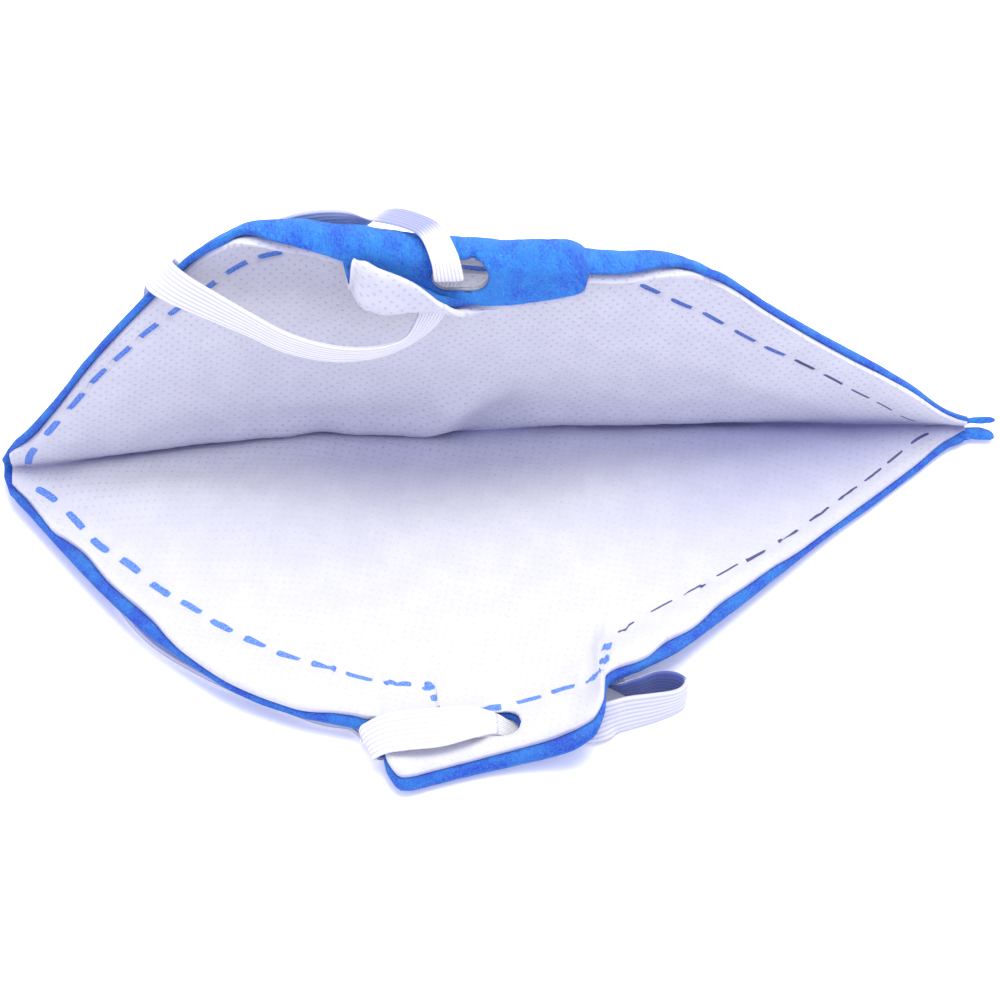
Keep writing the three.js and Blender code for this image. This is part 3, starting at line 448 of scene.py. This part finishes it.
class Sheet:
    """The sheet's middle surface on a grid: columns along x, lines across the fold."""

    def __init__(self, layer):
        self.layer = layer
        self.x = columns_between(layer["first"], layer["last"])
        table = np.array([(*section, 0, 0)[:len(COLUMNS)] for section in SECTIONS], float)
        self.row = {name: monotone(table[:, 0], table[:, k], self.x)
                    for k, name in enumerate(COLUMNS)}
        # the panel's depth, eased more widely across the tab's left step than its right one
        left = smooth(self.x, 0, -10)
        self.profile = left * self.mean_depth(5, 21) + (1 - left) * self.mean_depth(1.6, 9)
        self.thin = monotone(*zip(*THINNING), self.x)
        self.weld_low = weld_distance(MARKS_LOWER, self.x)
        self.weld_up = weld_distance(MARKS_UPPER, self.x)
        self.rim_low = monotone(*zip(*layer["rim"]), self.x)
        self.rim_up = monotone(*zip(*layer["rim_up"]), self.x)
        self.make_lines()
        self.walk()

    def mean_depth(self, reach, count):
        """The lower panel's depth, averaged over the reach to either side of each column."""
        spots = self.x[:, None] + np.linspace(-reach, reach, count)
        return np.interp(spots, self.x, self.row["low"]).mean(axis=1)

    def make_lines(self):
        """Distances of the lines from the crease, down the lower panel and up the upper one."""
        row, zone = self.row, WELD["zone"]
        low = np.maximum(row["low"] - self.rim_low, 0.8)
        weld = np.minimum(self.weld_low, 0.62 * low)
        spread = np.minimum(zone * stretch(self.x, self.weld_low), 0.3 * low)
        spread = np.minimum(spread, 0.8 * np.minimum(low - weld, weld))
        self.low_lines = lines_across(weld, spread, low, LINES["low_rim"])
        # the upper panel, as far as the fold
        fold = row["fold"]
        crease = CREASE_RADIUS * self.thin * np.radians(180 - (row["lean"] - PANEL_BOW / 2))
        weld = np.clip(self.weld_up - crease, 0.3 * fold, 0.93 * fold)
        spread = np.minimum(zone * stretch(self.x, self.weld_up), 0.25 * fold)
        spread = np.minimum(spread, (fold - weld) * 0.9)
        self.up_lines = lines_across(weld, spread, fold, LINES["fold_rim"])
        self.crease_length = crease

    def lower_points(self, distance):
        row = self.row
        share = distance / self.profile
        hump = np.where(share < HUMP_END, row["hump"] * np.sin(pi * share / HUMP_END) ** 2, 0)
        curl = row["curl"] * smooth(share, CURL_START, 1)
        return row["crease"] - distance, REST_HEIGHT + row["lift"] + hump + curl

    def walk(self):
        """Walks each section from the crease up the panel, round the fold and down the flap."""
        row = self.row
        rest = row["up"] - row["fold"]
        bend = np.minimum(FOLD_RADIUS * np.radians(row["turn"]), 0.8 * rest)
        left = rest - bend
        lip_bend = np.maximum(0.1, np.minimum(LIP_RADIUS * np.radians(row["lip_turn"]), 0.4 * left))
        lip_turn = np.minimum(row["lip_turn"], np.degrees(lip_bend / LIP_RADIUS))
        lip = np.maximum(0.1, np.minimum(row["lip"], 0.45 * left))
        flap = np.maximum(0.1, left - lip_bend - lip)
        foot = row["lean"] - PANEL_BOW / 2
        fold = row["fold"]
        panel = np.diff(np.concatenate([0 * fold[None], self.up_lines]), axis=0)
        legs = evenly(self.crease_length, foot - 180, LEGS["crease"])
        legs += [(step, PANEL_BOW * step / fold) for step in panel]
        self.fold_line = len(legs)
        legs += evenly(bend, -row["turn"], LEGS["fold"])
        self.flap_line = len(legs)
        legs += evenly(flap, 0 * flap, LEGS["flap"])
        legs += evenly(lip_bend, lip_turn, LEGS["lip_bend"])
        legs += evenly(lip, 0 * lip, LEGS["lip"])
        y, z = self.lower_points(0 * fold)
        heading = np.full(len(fold), 180.0)
        ys, zs = [], []
        for length, turn in legs:
            heading = heading + turn / 2
            y = y - np.cos(np.radians(heading)) * length
            z = z + np.sin(np.radians(heading)) * length
            heading = heading + turn / 2
            ys.append(y)
            zs.append(z)
        low_y, low_z = self.lower_points(np.concatenate([self.low_lines[::-1], 0 * fold[None]]))
        self.crease_index = len(self.low_lines)
        ys = np.concatenate([low_y, np.array(ys)]).T
        zs = np.concatenate([low_z, np.array(zs)]).T
        self.grid = np.stack(np.broadcast_arrays(self.x[:, None], ys, zs), -1)
        self.trim_flap()
        reach = run_along(self.grid)
        self.sheet_s = reach - reach[:, self.crease_index][:, None]

    def trim_flap(self):
        """Ends the layer short of the flap's outline, or past the rim."""
        flap = smooth(self.row["turn"], *FOLDED)
        trim = self.rim_up * (1 - flap) + self.layer["flap"] * flap
        start = self.crease_index + self.flap_line - 6
        for i, line in enumerate(self.grid):
            tail = line[start:]
            reach = run_along(tail)
            wanted = reach * max(0.15, (reach[-1] - trim[i]) / reach[-1])
            end = tail[-1] + (tail[-1] - tail[-2]) / max(reach[-1] - reach[-2], 1e-6) * 2
            far = np.append(reach, reach[-1] + 2)
            tail = np.vstack([tail, end])
            for axis in (1, 2):
                line[start:, axis] = np.interp(wanted, far, tail[:, axis])

    def normals(self):
        ahead = unit(np.diff(self.grid[..., 1:], axis=1), TINY)
        before = np.concatenate([ahead[:, :1], ahead], axis=1)
        after = np.concatenate([ahead, ahead[:, -1:]], axis=1)
        along = unit(before + after, TINY)
        return np.stack([0 * along[..., 0], -along[..., 1], along[..., 0]], -1)


def weld_distance(marks, x):
    """The weld line's distance from the crease at x."""
    table = [WELD_START, *[mark[:2] for mark in marks], WELD_END, WELD_TIP]
    return monotone(*zip(*table), x)


def stretch(x, weld):
    """How much longer a step across the weld line is when taken along a section."""
    return np.clip(np.sqrt(1 + np.gradient(weld, x) ** 2), 1, 1.7)


def weld_path(marks):
    """Points close together along a weld line, with each one's beat and half width."""
    table = np.array([WELD_START + WELD["guide"], *marks, WELD_END + WELD["guide"]], float)
    steps = np.hypot(*np.diff(table[:, :2], axis=0).T)
    run = np.concatenate([[0], np.cumsum(steps)])
    at = np.arange(0, run[-1], WELD["step"])
    path = np.stack([monotone(run, table[:, 0], at), monotone(run, table[:, 1], at)], 1)
    # each mark's two ends, and one end of each guide
    ends = np.array([-0.5, 0.5])
    knots = (run[:, None] + ends * table[:, 2:3]).ravel()[1:-1]
    beats = (np.arange(len(table))[:, None] + 0.5 + ends / 2).ravel()[1:-1]
    beats[0], beats[-1] = WELD["first_beat"], len(table) - 1
    halves = np.repeat(table[:, 3], 2)[1:-1]
    return path, np.interp(at, knots, beats), np.interp(at, knots, halves)


def weld_place(sheet):
    """Where each grid point lies on the weld: beat, distance in half widths, half width.

    A mark covers the middle half of each whole beat.
    """
    s, most = sheet.sheet_s, WELD["most_halves"]
    place = np.zeros(s.shape + (3,))
    line = np.where(s < 0, sheet.weld_low[:, None], sheet.weld_up[:, None])
    place[..., 1] = most * np.sign(np.abs(s) - line)
    away = np.full(s.shape, WELD["far"])
    for marks, sign in ((MARKS_LOWER, -1), (MARKS_UPPER, 1)):
        path, beat, half = weld_path(marks)
        for i, x in enumerate(sheet.x):
            near = np.nonzero(np.abs(path[:, 0] - x) < WELD["near"])[0]
            rows = np.nonzero(s[i] * sign > 0)[0]
            if not len(near) or not len(rows):
                continue
            gap = np.hypot(x - path[near, 0], np.abs(s[i, rows])[:, None] - path[near, 1])
            close = gap.min(1) < WELD["near"]
            reach, which, rows = gap.min(1)[close], near[gap.argmin(1)][close], rows[close]
            ahead = path[np.minimum(which + 1, len(path) - 1)] - path[np.maximum(which - 1, 0)]
            side = ahead[:, 0] * (np.abs(s[i, rows]) - path[which, 1])
            side = np.sign(side - ahead[:, 1] * (x - path[which, 0]))
            away[i, rows] = reach
            halves_off = np.clip(side * reach / half[which], -most, most)
            place[i, rows] = np.stack([beat[which], halves_off, half[which]], 1)
    return place, away


def mark_depth(place):
    """1 inside the weld's marks, easing to 0 at their edges."""
    along = np.abs(place[..., 0] % 1 - 0.5) / 0.25
    return smooth(np.maximum(along, np.abs(place[..., 1])), *WELD["soft_edge"])


def bumps(x, s):
    """Soft dents and swellings of the whole sheet, along its normal."""
    total = np.zeros(np.broadcast(x, s).shape)
    for cx, cs, rx, rs, turn, height in SWELLINGS:
        c, d = cos(radians(turn)), sin(radians(turn))
        u = ((x - cx) * c + (s - cs) * d) / rx
        v = (-(x - cx) * d + (s - cs) * c) / rs
        total = total + height * np.exp(-(u * u + v * v))
    total = total * smooth(np.abs(s), 0.5, 8)
    for middle, half, heights in RIDGES:
        ridge = monotone(*zip(*heights), x) * np.exp(-((s - middle) / half) ** 2)
        total = total + ridge * smooth(np.abs(s), 0.0, 2.0)
    return total


def waviness(x, s, seed, length, height):
    """Smooth unevenness: a few crossing waves with fixed phases."""
    rng = np.random.default_rng(seed)
    total = 0
    for _ in range(9):
        angle, phase = rng.uniform(0, pi), rng.uniform(0, 2 * pi)
        size = length * rng.uniform(0.6, 1.6)
        total = total + np.sin(2 * pi * (x * cos(angle) + s * sin(angle)) / size + phase)
    return total * height / 3


def oval_gap(u, v):
    """Distance outside the hole's oval, negative inside, and the way out of it."""
    half = (HOLE["length"] - HOLE["height"]) / 2
    along = np.clip(u, -half, half)
    du, dv = u - along, v
    length = np.maximum(np.hypot(du, dv), 1e-6)
    return length - HOLE["height"] / 2, du / length, dv / length


def touched(cells, shape):
    """The grid points that any of the cells has as a corner."""
    points = np.zeros(shape, bool)
    for di in (0, 1):
        for dj in (0, 1):
            part = points[di:di + cells.shape[0], dj:dj + cells.shape[1]]
            part |= cells
    return points


def cut_hole(grids, oval, axis_u, axis_v, region, keep):
    """Drops the cells inside an oval and draws the points round it onto its outline."""
    gap, out_u, out_v = oval
    centre_in = (gap[:-1, :-1] + gap[1:, :-1] + gap[:-1, 1:] + gap[1:, 1:]) / 4 < 0
    dropped = centre_in & region[:-1, :-1] & region[1:, 1:]
    keep &= ~dropped
    rim = touched(dropped, region.shape) & touched(keep, region.shape)
    move = -gap[rim]
    for points in grids:
        points[rim] += (move * out_u[rim])[:, None] * axis_u + (move * out_v[rim])[:, None] * axis_v


# A cell's four sides: which neighbour lies beyond, and the two corners that the side runs between.
SIDES = [((-1, 0), (0, 1), (0, 0)), ((1, 0), (1, 0), (1, 1)),
         ((0, -1), (0, 0), (1, 0)), ((0, 1), (1, 1), (0, 1))]
RIM_SHARES = (0.12, 0.35, 0.65, 0.88)  # of the way round the rim from front to back
# A tail's place round the rim also sets how much painted light it takes.
TAIL_EDGE = 0.6  # how far a tail has the look of a cut edge


def closed_sheet(name, front, back, keep, bulge, material, attributes, extra=()):
    """Two facing grids and a rounded rim round every border of the kept cells.

    extra holds further parts of the piece, each as points, faces and places.
    """
    ni, nj = front.shape[:2]
    count = ni * nj
    points = [front.reshape(-1, 3), back.reshape(-1, 3)]
    index = np.arange(count).reshape(ni, nj)
    ii, jj = np.nonzero(keep)
    a, b = index[ii, jj], index[ii + 1, jj]
    c, d = index[ii + 1, jj + 1], index[ii, jj + 1]
    faces = [np.stack([a, b, c, d], 1), np.stack([a, d, c, b], 1) + count]
    # directed border edges of the kept cells
    padded = np.zeros((ni + 1, nj + 1), bool)
    padded[1:-1, 1:-1] = keep
    borders = np.array([(index[i + p[0], j + p[1]], index[i + q[0], j + q[1]])
                        for i, j in zip(ii, jj) for beyond, p, q in SIDES
                        if not padded[i + 1 + beyond[0], j + 1 + beyond[1]]])
    flat_front, flat_back = points
    inward = unit(flat_front - flat_back, TINY)
    outward = np.zeros((count, 3))
    edge = flat_front[borders[:, 1]] - flat_front[borders[:, 0]]
    side = unit(np.cross(edge, inward[borders[:, 0]] + inward[borders[:, 1]]), TINY)
    np.add.at(outward, borders[:, 0], side)
    np.add.at(outward, borders[:, 1], side)
    outward = unit(outward, TINY)
    ring = np.unique(borders)
    rounds = [borders]
    for step, share in enumerate(RIM_SHARES):
        rounds.append(2 * count + step * len(ring) + np.searchsorted(ring, borders))
        middle = flat_front[ring] * (1 - share) + flat_back[ring] * share
        points.append(middle + outward[ring] * bulge * sin(pi * share) ** 0.6)
    left, right = np.stack([*rounds, borders + count], -1).transpose(1, 0, 2)
    walls = [right[:, :-1], left[:, :-1], left[:, 1:], right[:, 1:]]
    points = np.concatenate(points)
    faces = np.concatenate([*faces, np.stack(walls, -1).reshape(-1, 4)])
    used = np.unique(faces)
    remap = np.full(len(points), -1)
    remap[used] = np.arange(len(used))
    points, faces = points[used], remap[faces].tolist()
    for more_points, more_faces, _ in extra:
        faces += [[v + len(points) for v in face] for face in more_faces]
        points = np.vstack([points, more_points])
    obj = mesh_object(name, points, faces, material)
    edge = np.repeat((0, 1, *RIM_SHARES), [count, count] + [len(ring)] * len(RIM_SHARES))
    tails = [np.full(len(more_points), TAIL_EDGE) for more_points, _, _ in extra]
    add_attribute(obj, "edge", np.concatenate([edge[used], *tails]))
    for key, values in attributes.items():
        values = values.reshape((count,) + values.shape[2:])
        full = np.concatenate([values, values] + [values[ring]] * len(RIM_SHARES))[used]
        tails = [places if key == "place" else np.zeros((len(places),) + full.shape[1:])
                 for _, _, places in extra]
        add_attribute(obj, key, np.concatenate([full, *tails]))
    return obj


def tail(route, sides=14, steps=6):
    """A flattened, round-ended strip of felt along its route: points, faces and places."""
    route = np.array(route, float)
    guided = np.vstack([2 * route[0] - route[1], route, 2 * route[-1] - route[-2]])
    rows = np.array(through(guided, steps) + [route[-1]])
    rows[:, 3:] = np.maximum(rows[:, 3:], 0.2)
    angle = np.linspace(0, 2 * pi, sides, endpoint=False)
    out = np.stack([0 * angle, np.cos(angle), np.sin(angle)], -1)
    rings = rows[:, None, :3] + rows[:, None, [0, 3, 4]] * out
    rings += waviness(rows[:, None, 0] * 3, angle * 4, 8, 5.0, 0.07)[..., None] * out
    points = np.vstack([rings.reshape(-1, 3), rows[0, :3], rows[-1, :3] + (0.25, 0, 0)])
    around = [(c, (c + 1) % sides) for c in range(sides)]
    last = (len(rows) - 1) * sides
    faces = [(a + c, a + sides + c, a + sides + d, a + d)
             for a in range(0, last, sides) for c, d in around]
    for c, d in around:
        faces += [(c, d, len(points) - 2), (last + d, last + c, len(points) - 1)]
    return points, faces, points * (1, 1, 0)


def build_layer(layer, offsets):
    """One layer of the sheet, with its holes."""
    sheet = Sheet(layer)
    normal = sheet.normals()
    x, s = sheet.grid[..., 0], sheet.sheet_s
    weld, away = weld_place(sheet)
    mask = mark_depth(weld)
    width = np.minimum(sheet.row["low"], sheet.row["up"])[:, None]
    ease = smooth(width, *EASE_WIDTH)
    middle = sheet.grid + normal * (bumps(x, s) * ease)[..., None]
    normal = normal * sheet.thin[:, None, None]
    rim = np.minimum(s - s[:, :1], s[:, -1:] - s)
    inner, outer = (middle + normal * offset[..., None]
                    for offset in offsets(x, s, mask, away, ease, rim))
    keep = np.ones((len(sheet.x) - 1, s.shape[1] - 1), bool)
    # the lower hole, seen from above
    x_axis = np.array([1, 0, 0])
    oval = oval_gap(x - LOWER_HOLE["x"], middle[..., 1] - LOWER_HOLE["y"])
    region = (s < -LOWER_HOLE["beyond"]) & (oval[0] < HOLE["margin"])
    cut_hole((inner, outer), oval, x_axis, np.array([0, 1, 0]), region, keep)
    # the upper hole, seen along its own axis
    tilt = radians(90 + UPPER_HOLE["tilt"])
    up_axis = np.array([0, cos(tilt), sin(tilt)])
    rel = middle - np.array([UPPER_HOLE[axis] for axis in "xyz"])
    depth = np.abs(rel @ np.array([0, -sin(tilt), cos(tilt)]))
    oval = oval_gap(rel[..., 0], rel @ up_axis)
    on_flap = np.arange(s.shape[1])[None] >= sheet.crease_index + sheet.fold_line + 3
    region = on_flap & (depth < UPPER_HOLE["reach"]) & (oval[0] < HOLE["margin"])
    cut_hole((inner, outer), oval, x_axis, up_axis, region, keep)
    return (inner, outer, keep), sheet_attributes(x, s, weld)


def lattice(x, s):
    """Bond-dot lattice coordinates: rows along the upper panel, slanted on the lower one."""
    turn = np.where(s > 0, radians(DOTS["upper_turn"]), radians(DOTS["lower_turn"]))
    u = (x * np.cos(turn) + s * np.sin(turn)) / DOTS["pitch"]
    v = (-x * np.sin(turn) + s * np.cos(turn)) / DOTS["pitch"]
    return np.stack([u + v, u - v, 0 * u], -1)


# ---- materials
FELT_DEEP, FELT_BLUE = (0.012, 0.022, 0.60), (0.020, 0.095, 0.70)
FELT_LIGHT, FELT_PALE = (0.035, 0.29, 0.82), (0.26, 0.56, 0.90)
LINING_SHADE, LINING_WHITE = (0.57, 0.57, 0.61), (0.60, 0.60, 0.635)
LINING_FLUFF, DOT_SHADE = (0.70, 0.70, 0.73), (0.31, 0.31, 0.50)
# painted shade colour of the lining near the crease
LINING_CREASE_SHADE = (0.20, 0.205, 0.42)
FILM_DEEP, FILM_LIGHT = (0.03, 0.08, 0.52), (0.12, 0.34, 0.72)
FILM_SLIT = (0.045, 0.05, 0.17)
# The first colour is painted shade for the elastic's grooves and knit steps.
ELASTIC_GROOVE_SHADE, ELASTIC_WHITE = (0.57, 0.56, 0.67), (0.83, 0.825, 0.82)
# painted shade colour, bluish, for the stretches in STRAP_SHADED
ELASTIC_SHADED = (0.06, 0.10, 0.36)
KNIT_PITCH = 0.62


class Shader:
    """A material's nodes, with short calls to add and join them."""

    def __init__(self, name, roughness, sheen=0.0, tint=(1, 1, 1)):
        self.material = bpy.data.materials.new(name)
        self.material.use_nodes = True
        self.tree = self.material.node_tree
        self.surface = self.tree.nodes["Principled BSDF"]
        self.fill(self.surface, {"Roughness": roughness, "Sheen Weight": sheen,
                                 "Sheen Tint": (*tint, 1), "Specular IOR Level": 0.25})

    def add(self, kind, settings=None, **values):
        node = self.tree.nodes.new("ShaderNode" + kind)
        for key, value in (settings or {}).items():
            setattr(node, key, value)
        self.fill(node, values)
        return node

    def fill(self, node, values):
        """Links or sets a node's inputs, by name or, after an underscore, by number."""
        for key, value in values.items():
            socket = node.inputs[int(key[1:]) if key[0] == "_" else key]
            if isinstance(value, bpy.types.NodeSocket):
                self.tree.links.new(value, socket)
            else:
                socket.default_value = value

    def attribute(self, name, kind="Vector"):
        node = self.add("Attribute", {"attribute_name": name, "attribute_type": "GEOMETRY"})
        return node.outputs[kind]

    def math(self, operation, a, b=0.0, c=0.0):
        return self.add("Math", {"operation": operation}, _0=a, _1=b, _2=c).outputs[0]

    def step(self, value, low, high, to_low=0.0, to_high=1.0):
        return self.add("MapRange", {"interpolation_type": "SMOOTHSTEP"}, _0=value, _1=low,
                        _2=high, _3=to_low, _4=to_high).outputs[0]

    def mix(self, factor, a, b):
        a, b = ((*color, 1) if isinstance(color, tuple) else color for color in (a, b))
        return self.add("Mix", {"data_type": "RGBA"}, _0=factor, _6=a, _7=b).outputs[2]

    def noise(self, vector, scale, detail=4.0, roughness=0.55, distortion=0.0):
        return self.add("TexNoise", Vector=vector, Scale=scale, Detail=detail,
                        Roughness=roughness, Distortion=distortion).outputs["Fac"]

    def scaled(self, vector, scale, turn):
        return self.add("Mapping", Vector=vector, Rotation=(0, 0, turn), Scale=scale).outputs[0]

    def vector(self, operation, **values):
        return self.add("VectorMath", {"operation": operation}, **values).outputs

    def calls(self):
        """The calls that a material makes most."""
        return self.math, self.step, self.mix, self.noise

    def split(self, vector):
        return self.add("SeparateXYZ", _0=vector).outputs

    def bump(self, height, distance, strength):
        return self.add("Bump", Height=height, Distance=distance, Strength=strength).outputs[0]

    def finish(self, color, normal):
        self.fill(self.surface, {"Base Color": color, "Normal": normal})
        return self.material


def felt_material():
    """Needle felt: mottled blue, with tangled fibres, and painted light that makes its outer face
    and the outer part of its rim paler.
    """
    shader = Shader("felt", 0.95, 0.3, (0.35, 0.6, 1.0))
    math, step, mix, noise = shader.calls()
    place = shader.attribute("place")
    edge = shader.attribute("edge", "Fac")
    depth = shader.add("CombineXYZ", _2=math("MULTIPLY", edge, 2.6)).outputs[0]
    place = shader.vector("ADD", _0=place, _1=depth)[0]
    broad = step(noise(place, 0.16, 3, 0.6), 0.34, 0.66, 0.14, 0.25)
    mottle = noise(place, 2.4, 4, 0.8, 0.5)
    along = noise(shader.scaled(place, (6.0, 1.3, 3.0), 0.5), 1.0, 4, 0.7, 1.2)
    cross = noise(shader.scaled(place, (1.3, 6.0, 3.0), 0.2), 1.0, 4, 0.7, 1.2)
    fibres = math("MAXIMUM", along, cross)
    tone = math("MULTIPLY_ADD", mottle, 0.62, broad)
    # painted light: paler towards the outer face and round the rim
    tone = math("MULTIPLY_ADD", step(edge, 0.2, 0.9), 0.05, tone)
    deep = mix(step(tone, 0.32, 0.54), FELT_DEEP, FELT_BLUE)
    blue = mix(step(tone, 0.42, 0.66), deep, FELT_LIGHT)
    blue = mix(step(fibres, 0.55, 0.74, 0.0, 0.6), blue, FELT_PALE)
    height = math("MULTIPLY_ADD", fibres, 0.7, math("MULTIPLY", mottle, 0.6))
    return shader.finish(blue, shader.bump(height, 0.0007, 1.0))


def lining_material():
    """Soft white cover: bond dimples, faint fibres, a blue film in each weld, and painted shade
    near the crease.
    """
    shader = Shader("lining", 0.85, 0.15, (0.85, 0.85, 1.0))
    math, step, mix, noise = shader.calls()
    dots, place, weld = (shader.attribute(name) for name in ("dots", "place", "weld"))
    wobble = shader.add("TexNoise", Vector=place, Scale=0.9, Detail=2.0).outputs["Color"]
    shifted = shader.vector("MULTIPLY_ADD", _0=wobble, _1=(0.22, 0.22, 0), _2=dots)[0]
    cell = shader.vector("FRACTION", _0=shifted)[0]
    middle = shader.vector("DISTANCE", _0=cell, _1=(0.5, 0.5, 0.0))["Value"]
    beat, across, half = shader.split(weld)
    along = math("ABSOLUTE", math("SUBTRACT", math("FRACT", beat), 0.5))
    along = math("POWER", math("MULTIPLY", along, 4.0), 5.0)
    across = math("ABSOLUTE", across)
    side = math("POWER", across, 5.0)
    ragged = noise(place, 2.2, 3, 0.6)
    reach = math("MULTIPLY_ADD", ragged, 0.5, math("ADD", along, side))
    mark = step(reach, 1.38, 1.02)
    dot = step(middle, 0.20, 0.09)
    bare = step(across, 1.2, 2.2)
    front = step(shader.split(place)[1], -26.0, 4.0, 0.35, 1.0)
    dot = math("MULTIPLY", math("MULTIPLY", dot, bare), front)
    soft = noise(place, 0.16, 4, 0.55)
    fluff = noise(shader.scaled(place, (1.0, 3.2, 2.0), 0.4), 1.4, 6, 0.7, 1.0)
    fleck = noise(place, 5.0, 2, 0.6)
    white = mix(step(soft, 0.38, 0.66), LINING_SHADE, LINING_WHITE)
    white = mix(step(fluff, 0.42, 0.70, 0.0, 0.25), white, LINING_FLUFF)
    white = mix(step(fleck, 0.66, 0.80, 0.0, 0.5), white, LINING_FLUFF)
    # painted shade along the crease, from the shade attribute
    white = mix(shader.attribute("shade", "Fac"), white, LINING_CREASE_SHADE)
    white = mix(math("MULTIPLY", dot, 0.28), white, DOT_SHADE)
    speck = noise(place, 2.6, 4, 0.7)
    film = mix(step(speck, 0.36, 0.66), FILM_DEEP, FILM_LIGHT)
    film = mix(step(half, 0.62, 0.45), film, FILM_SLIT)
    color = mix(math("MULTIPLY", mark, 0.92), white, film)
    height = math("MULTIPLY_ADD", dot, -1.0, math("MULTIPLY", fluff, 0.5))
    return shader.finish(color, shader.bump(height, 0.00016, 0.7))


def elastic_material():
    """Flat braided elastic: pale cords with painted shade in the grooves between them and in the
    fine knit steps, and painted shade on some stretches.
    """
    shader = Shader("elastic", 0.7, 0.2, (0.9, 0.88, 1.0))
    math, step, mix = shader.calls()[:3]
    run, side, shaded = shader.split(shader.attribute("ribbon"))
    beat = math("MULTIPLY", side, 2 * pi * STRAP["ribs"] / STRAP_FULL)
    rib = math("MULTIPLY_ADD", math("COSINE", beat), -0.5, 0.5)
    skew = math("MULTIPLY_ADD", rib, 0.5, math("MULTIPLY", run, 1 / KNIT_PITCH))
    knit = math("MULTIPLY_ADD", math("SINE", math("MULTIPLY", skew, 2 * pi)), 0.5, 0.5)
    # painted shade in the grooves between the cords, and fainter painted shade in the knit steps
    white = mix(step(rib, 0.0, 0.55), ELASTIC_GROOVE_SHADE, ELASTIC_WHITE)
    white = mix(math("MULTIPLY", knit, 0.16), white, ELASTIC_GROOVE_SHADE)
    # painted shade and painted blue reflection on the stretches listed in STRAP_SHADED
    white = mix(shaded, white, ELASTIC_SHADED)
    height = math("MULTIPLY_ADD", knit, 0.35, rib)
    return shader.finish(white, shader.bump(height, 0.00012, 0.7))


# ---- the mask


def groove_round(away, ease):
    return WELD["groove"] * np.exp(-(away / WELD["groove_half"]) ** 2) * ease


def lining_offsets(x, s, mask, away, ease, rim):
    """The lining's two faces, off the sheet's middle: welded, and thinner towards its edge."""
    rough = waviness(x, s, 11, 9.0, 0.06) + waviness(x, s, 12, 3.4, 0.03)
    edge = 0.45 * smooth(rim, 2.5, 0.0)
    inner = LINING["inner"] - groove_round(away, ease) - (WELD["depth"] * mask - rough) * ease
    return inner - edge, LINING["outer"] - 0.58 * smooth(rim, 3.0, 0.5)


def felt_offsets(x, s, mask, away, ease, rim):
    """The felt's two faces: the inner one plain, the outer one rough and drawn in at the weld."""
    rough = waviness(x, s, 5, 7.0, 0.10) + waviness(x, s, 6, 2.6, 0.06)
    dent = 0.6 * groove_round(away, ease) + 0.6 * mask * ease
    outer = FELT["outer"] + dent + np.clip(rough, 0, 0.2) * ease
    return np.full(x.shape, FELT["inner"]), outer


def sheet_attributes(x, s, weld):
    """What the materials read at each grid point."""
    place = np.stack([x, s, 0 * x], -1)
    # painted shade near the crease, and a painted dark line along it
    below, reach, above, line = (monotone(CREASE_SHADE[:, 0], column, x)
                                 for column in CREASE_SHADE[:, 1:].T)
    fall = np.where(s < 0, below * np.exp(-(s / reach) ** 2),
                    above * np.exp(-(s / CREASE_REACH_UP) ** 2))
    shade = np.clip(fall + line * np.exp(-(s / CREASE_LINE) ** 2), 0, MOST_SHADE)
    return {"place": place, "dots": lattice(x, s), "weld": weld, "shade": shade}


felt, lining, elastic = felt_material(), lining_material(), elastic_material()

strap, strap_path = build_strap(elastic)
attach(strap, "root")
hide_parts("head_elastic")

grids, attributes = build_layer(LINING, lining_offsets)
cover = closed_sheet("lining_cover", *grids, LINING["bulge"], lining, attributes)
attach(cover, "root")
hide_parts("inner_lining")

grids, attributes = build_layer(FELT, felt_offsets)
tails = [tail(route) for route in TAILS]
shell = closed_sheet("felt_shell", *grids, FELT["bulge"], felt, attributes, tails)
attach(shell, "root")
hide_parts("outer_shell")

# ---- stage and light
FLOOR_HALF = 4.0


def add_stage():
    mesh = bpy.data.meshes.new("floor")
    signs = ((-1, -1), (1, -1), (1, 1), (-1, 1))
    mesh.from_pydata([(FLOOR_HALF * a, FLOOR_HALF * b, 0) for a, b in signs], [], [(0, 1, 2, 3)])
    floor = add_object("floor", mesh)
    shader = Shader("floor", 0.9)
    grain = shader.noise(shader.add("TexCoord").outputs["Object"], 40.0, 3)
    pale = shader.mix(grain, (0.93, 0.93, 0.94), (0.96, 0.96, 0.97))
    shader.fill(shader.surface, {"Emission Color": (1, 1, 1, 1), "Emission Strength": 0.12})
    mesh.materials.append(shader.finish(pale, shader.bump(grain, 0.0002, 0.1)))


LIGHT = {
    "place": (0.14, 0.14, 1.0), "aim": (0, 0.02, 0.02), "size": 0.62, "watts": 9.4,
    "color": (1.0, 0.99, 0.66),
}
WORLD = {"color": (0.72, 0.725, 1.0), "strength": 1.42}


def add_lights():
    data = bpy.data.lights.new("key", "AREA")
    data.shape = "SQUARE"
    data.size = LIGHT["size"]
    data.energy = LIGHT["watts"]
    data.color = LIGHT["color"]
    light = add_object("key", data)
    light.location = LIGHT["place"]
    aim = Vector(LIGHT["aim"]) - Vector(LIGHT["place"])
    light.rotation_euler = aim.to_track_quat("-Z", "Y").to_euler()
    world = bpy.data.worlds.new("studio")
    world.use_nodes = True
    background = world.node_tree.nodes["Background"]
    background.inputs["Color"].default_value = (*WORLD["color"], 1)
    background.inputs["Strength"].default_value = WORLD["strength"]
    bpy.context.scene.world = world
    bpy.context.scene.view_settings.view_transform = "Standard"


add_stage()
add_lights()
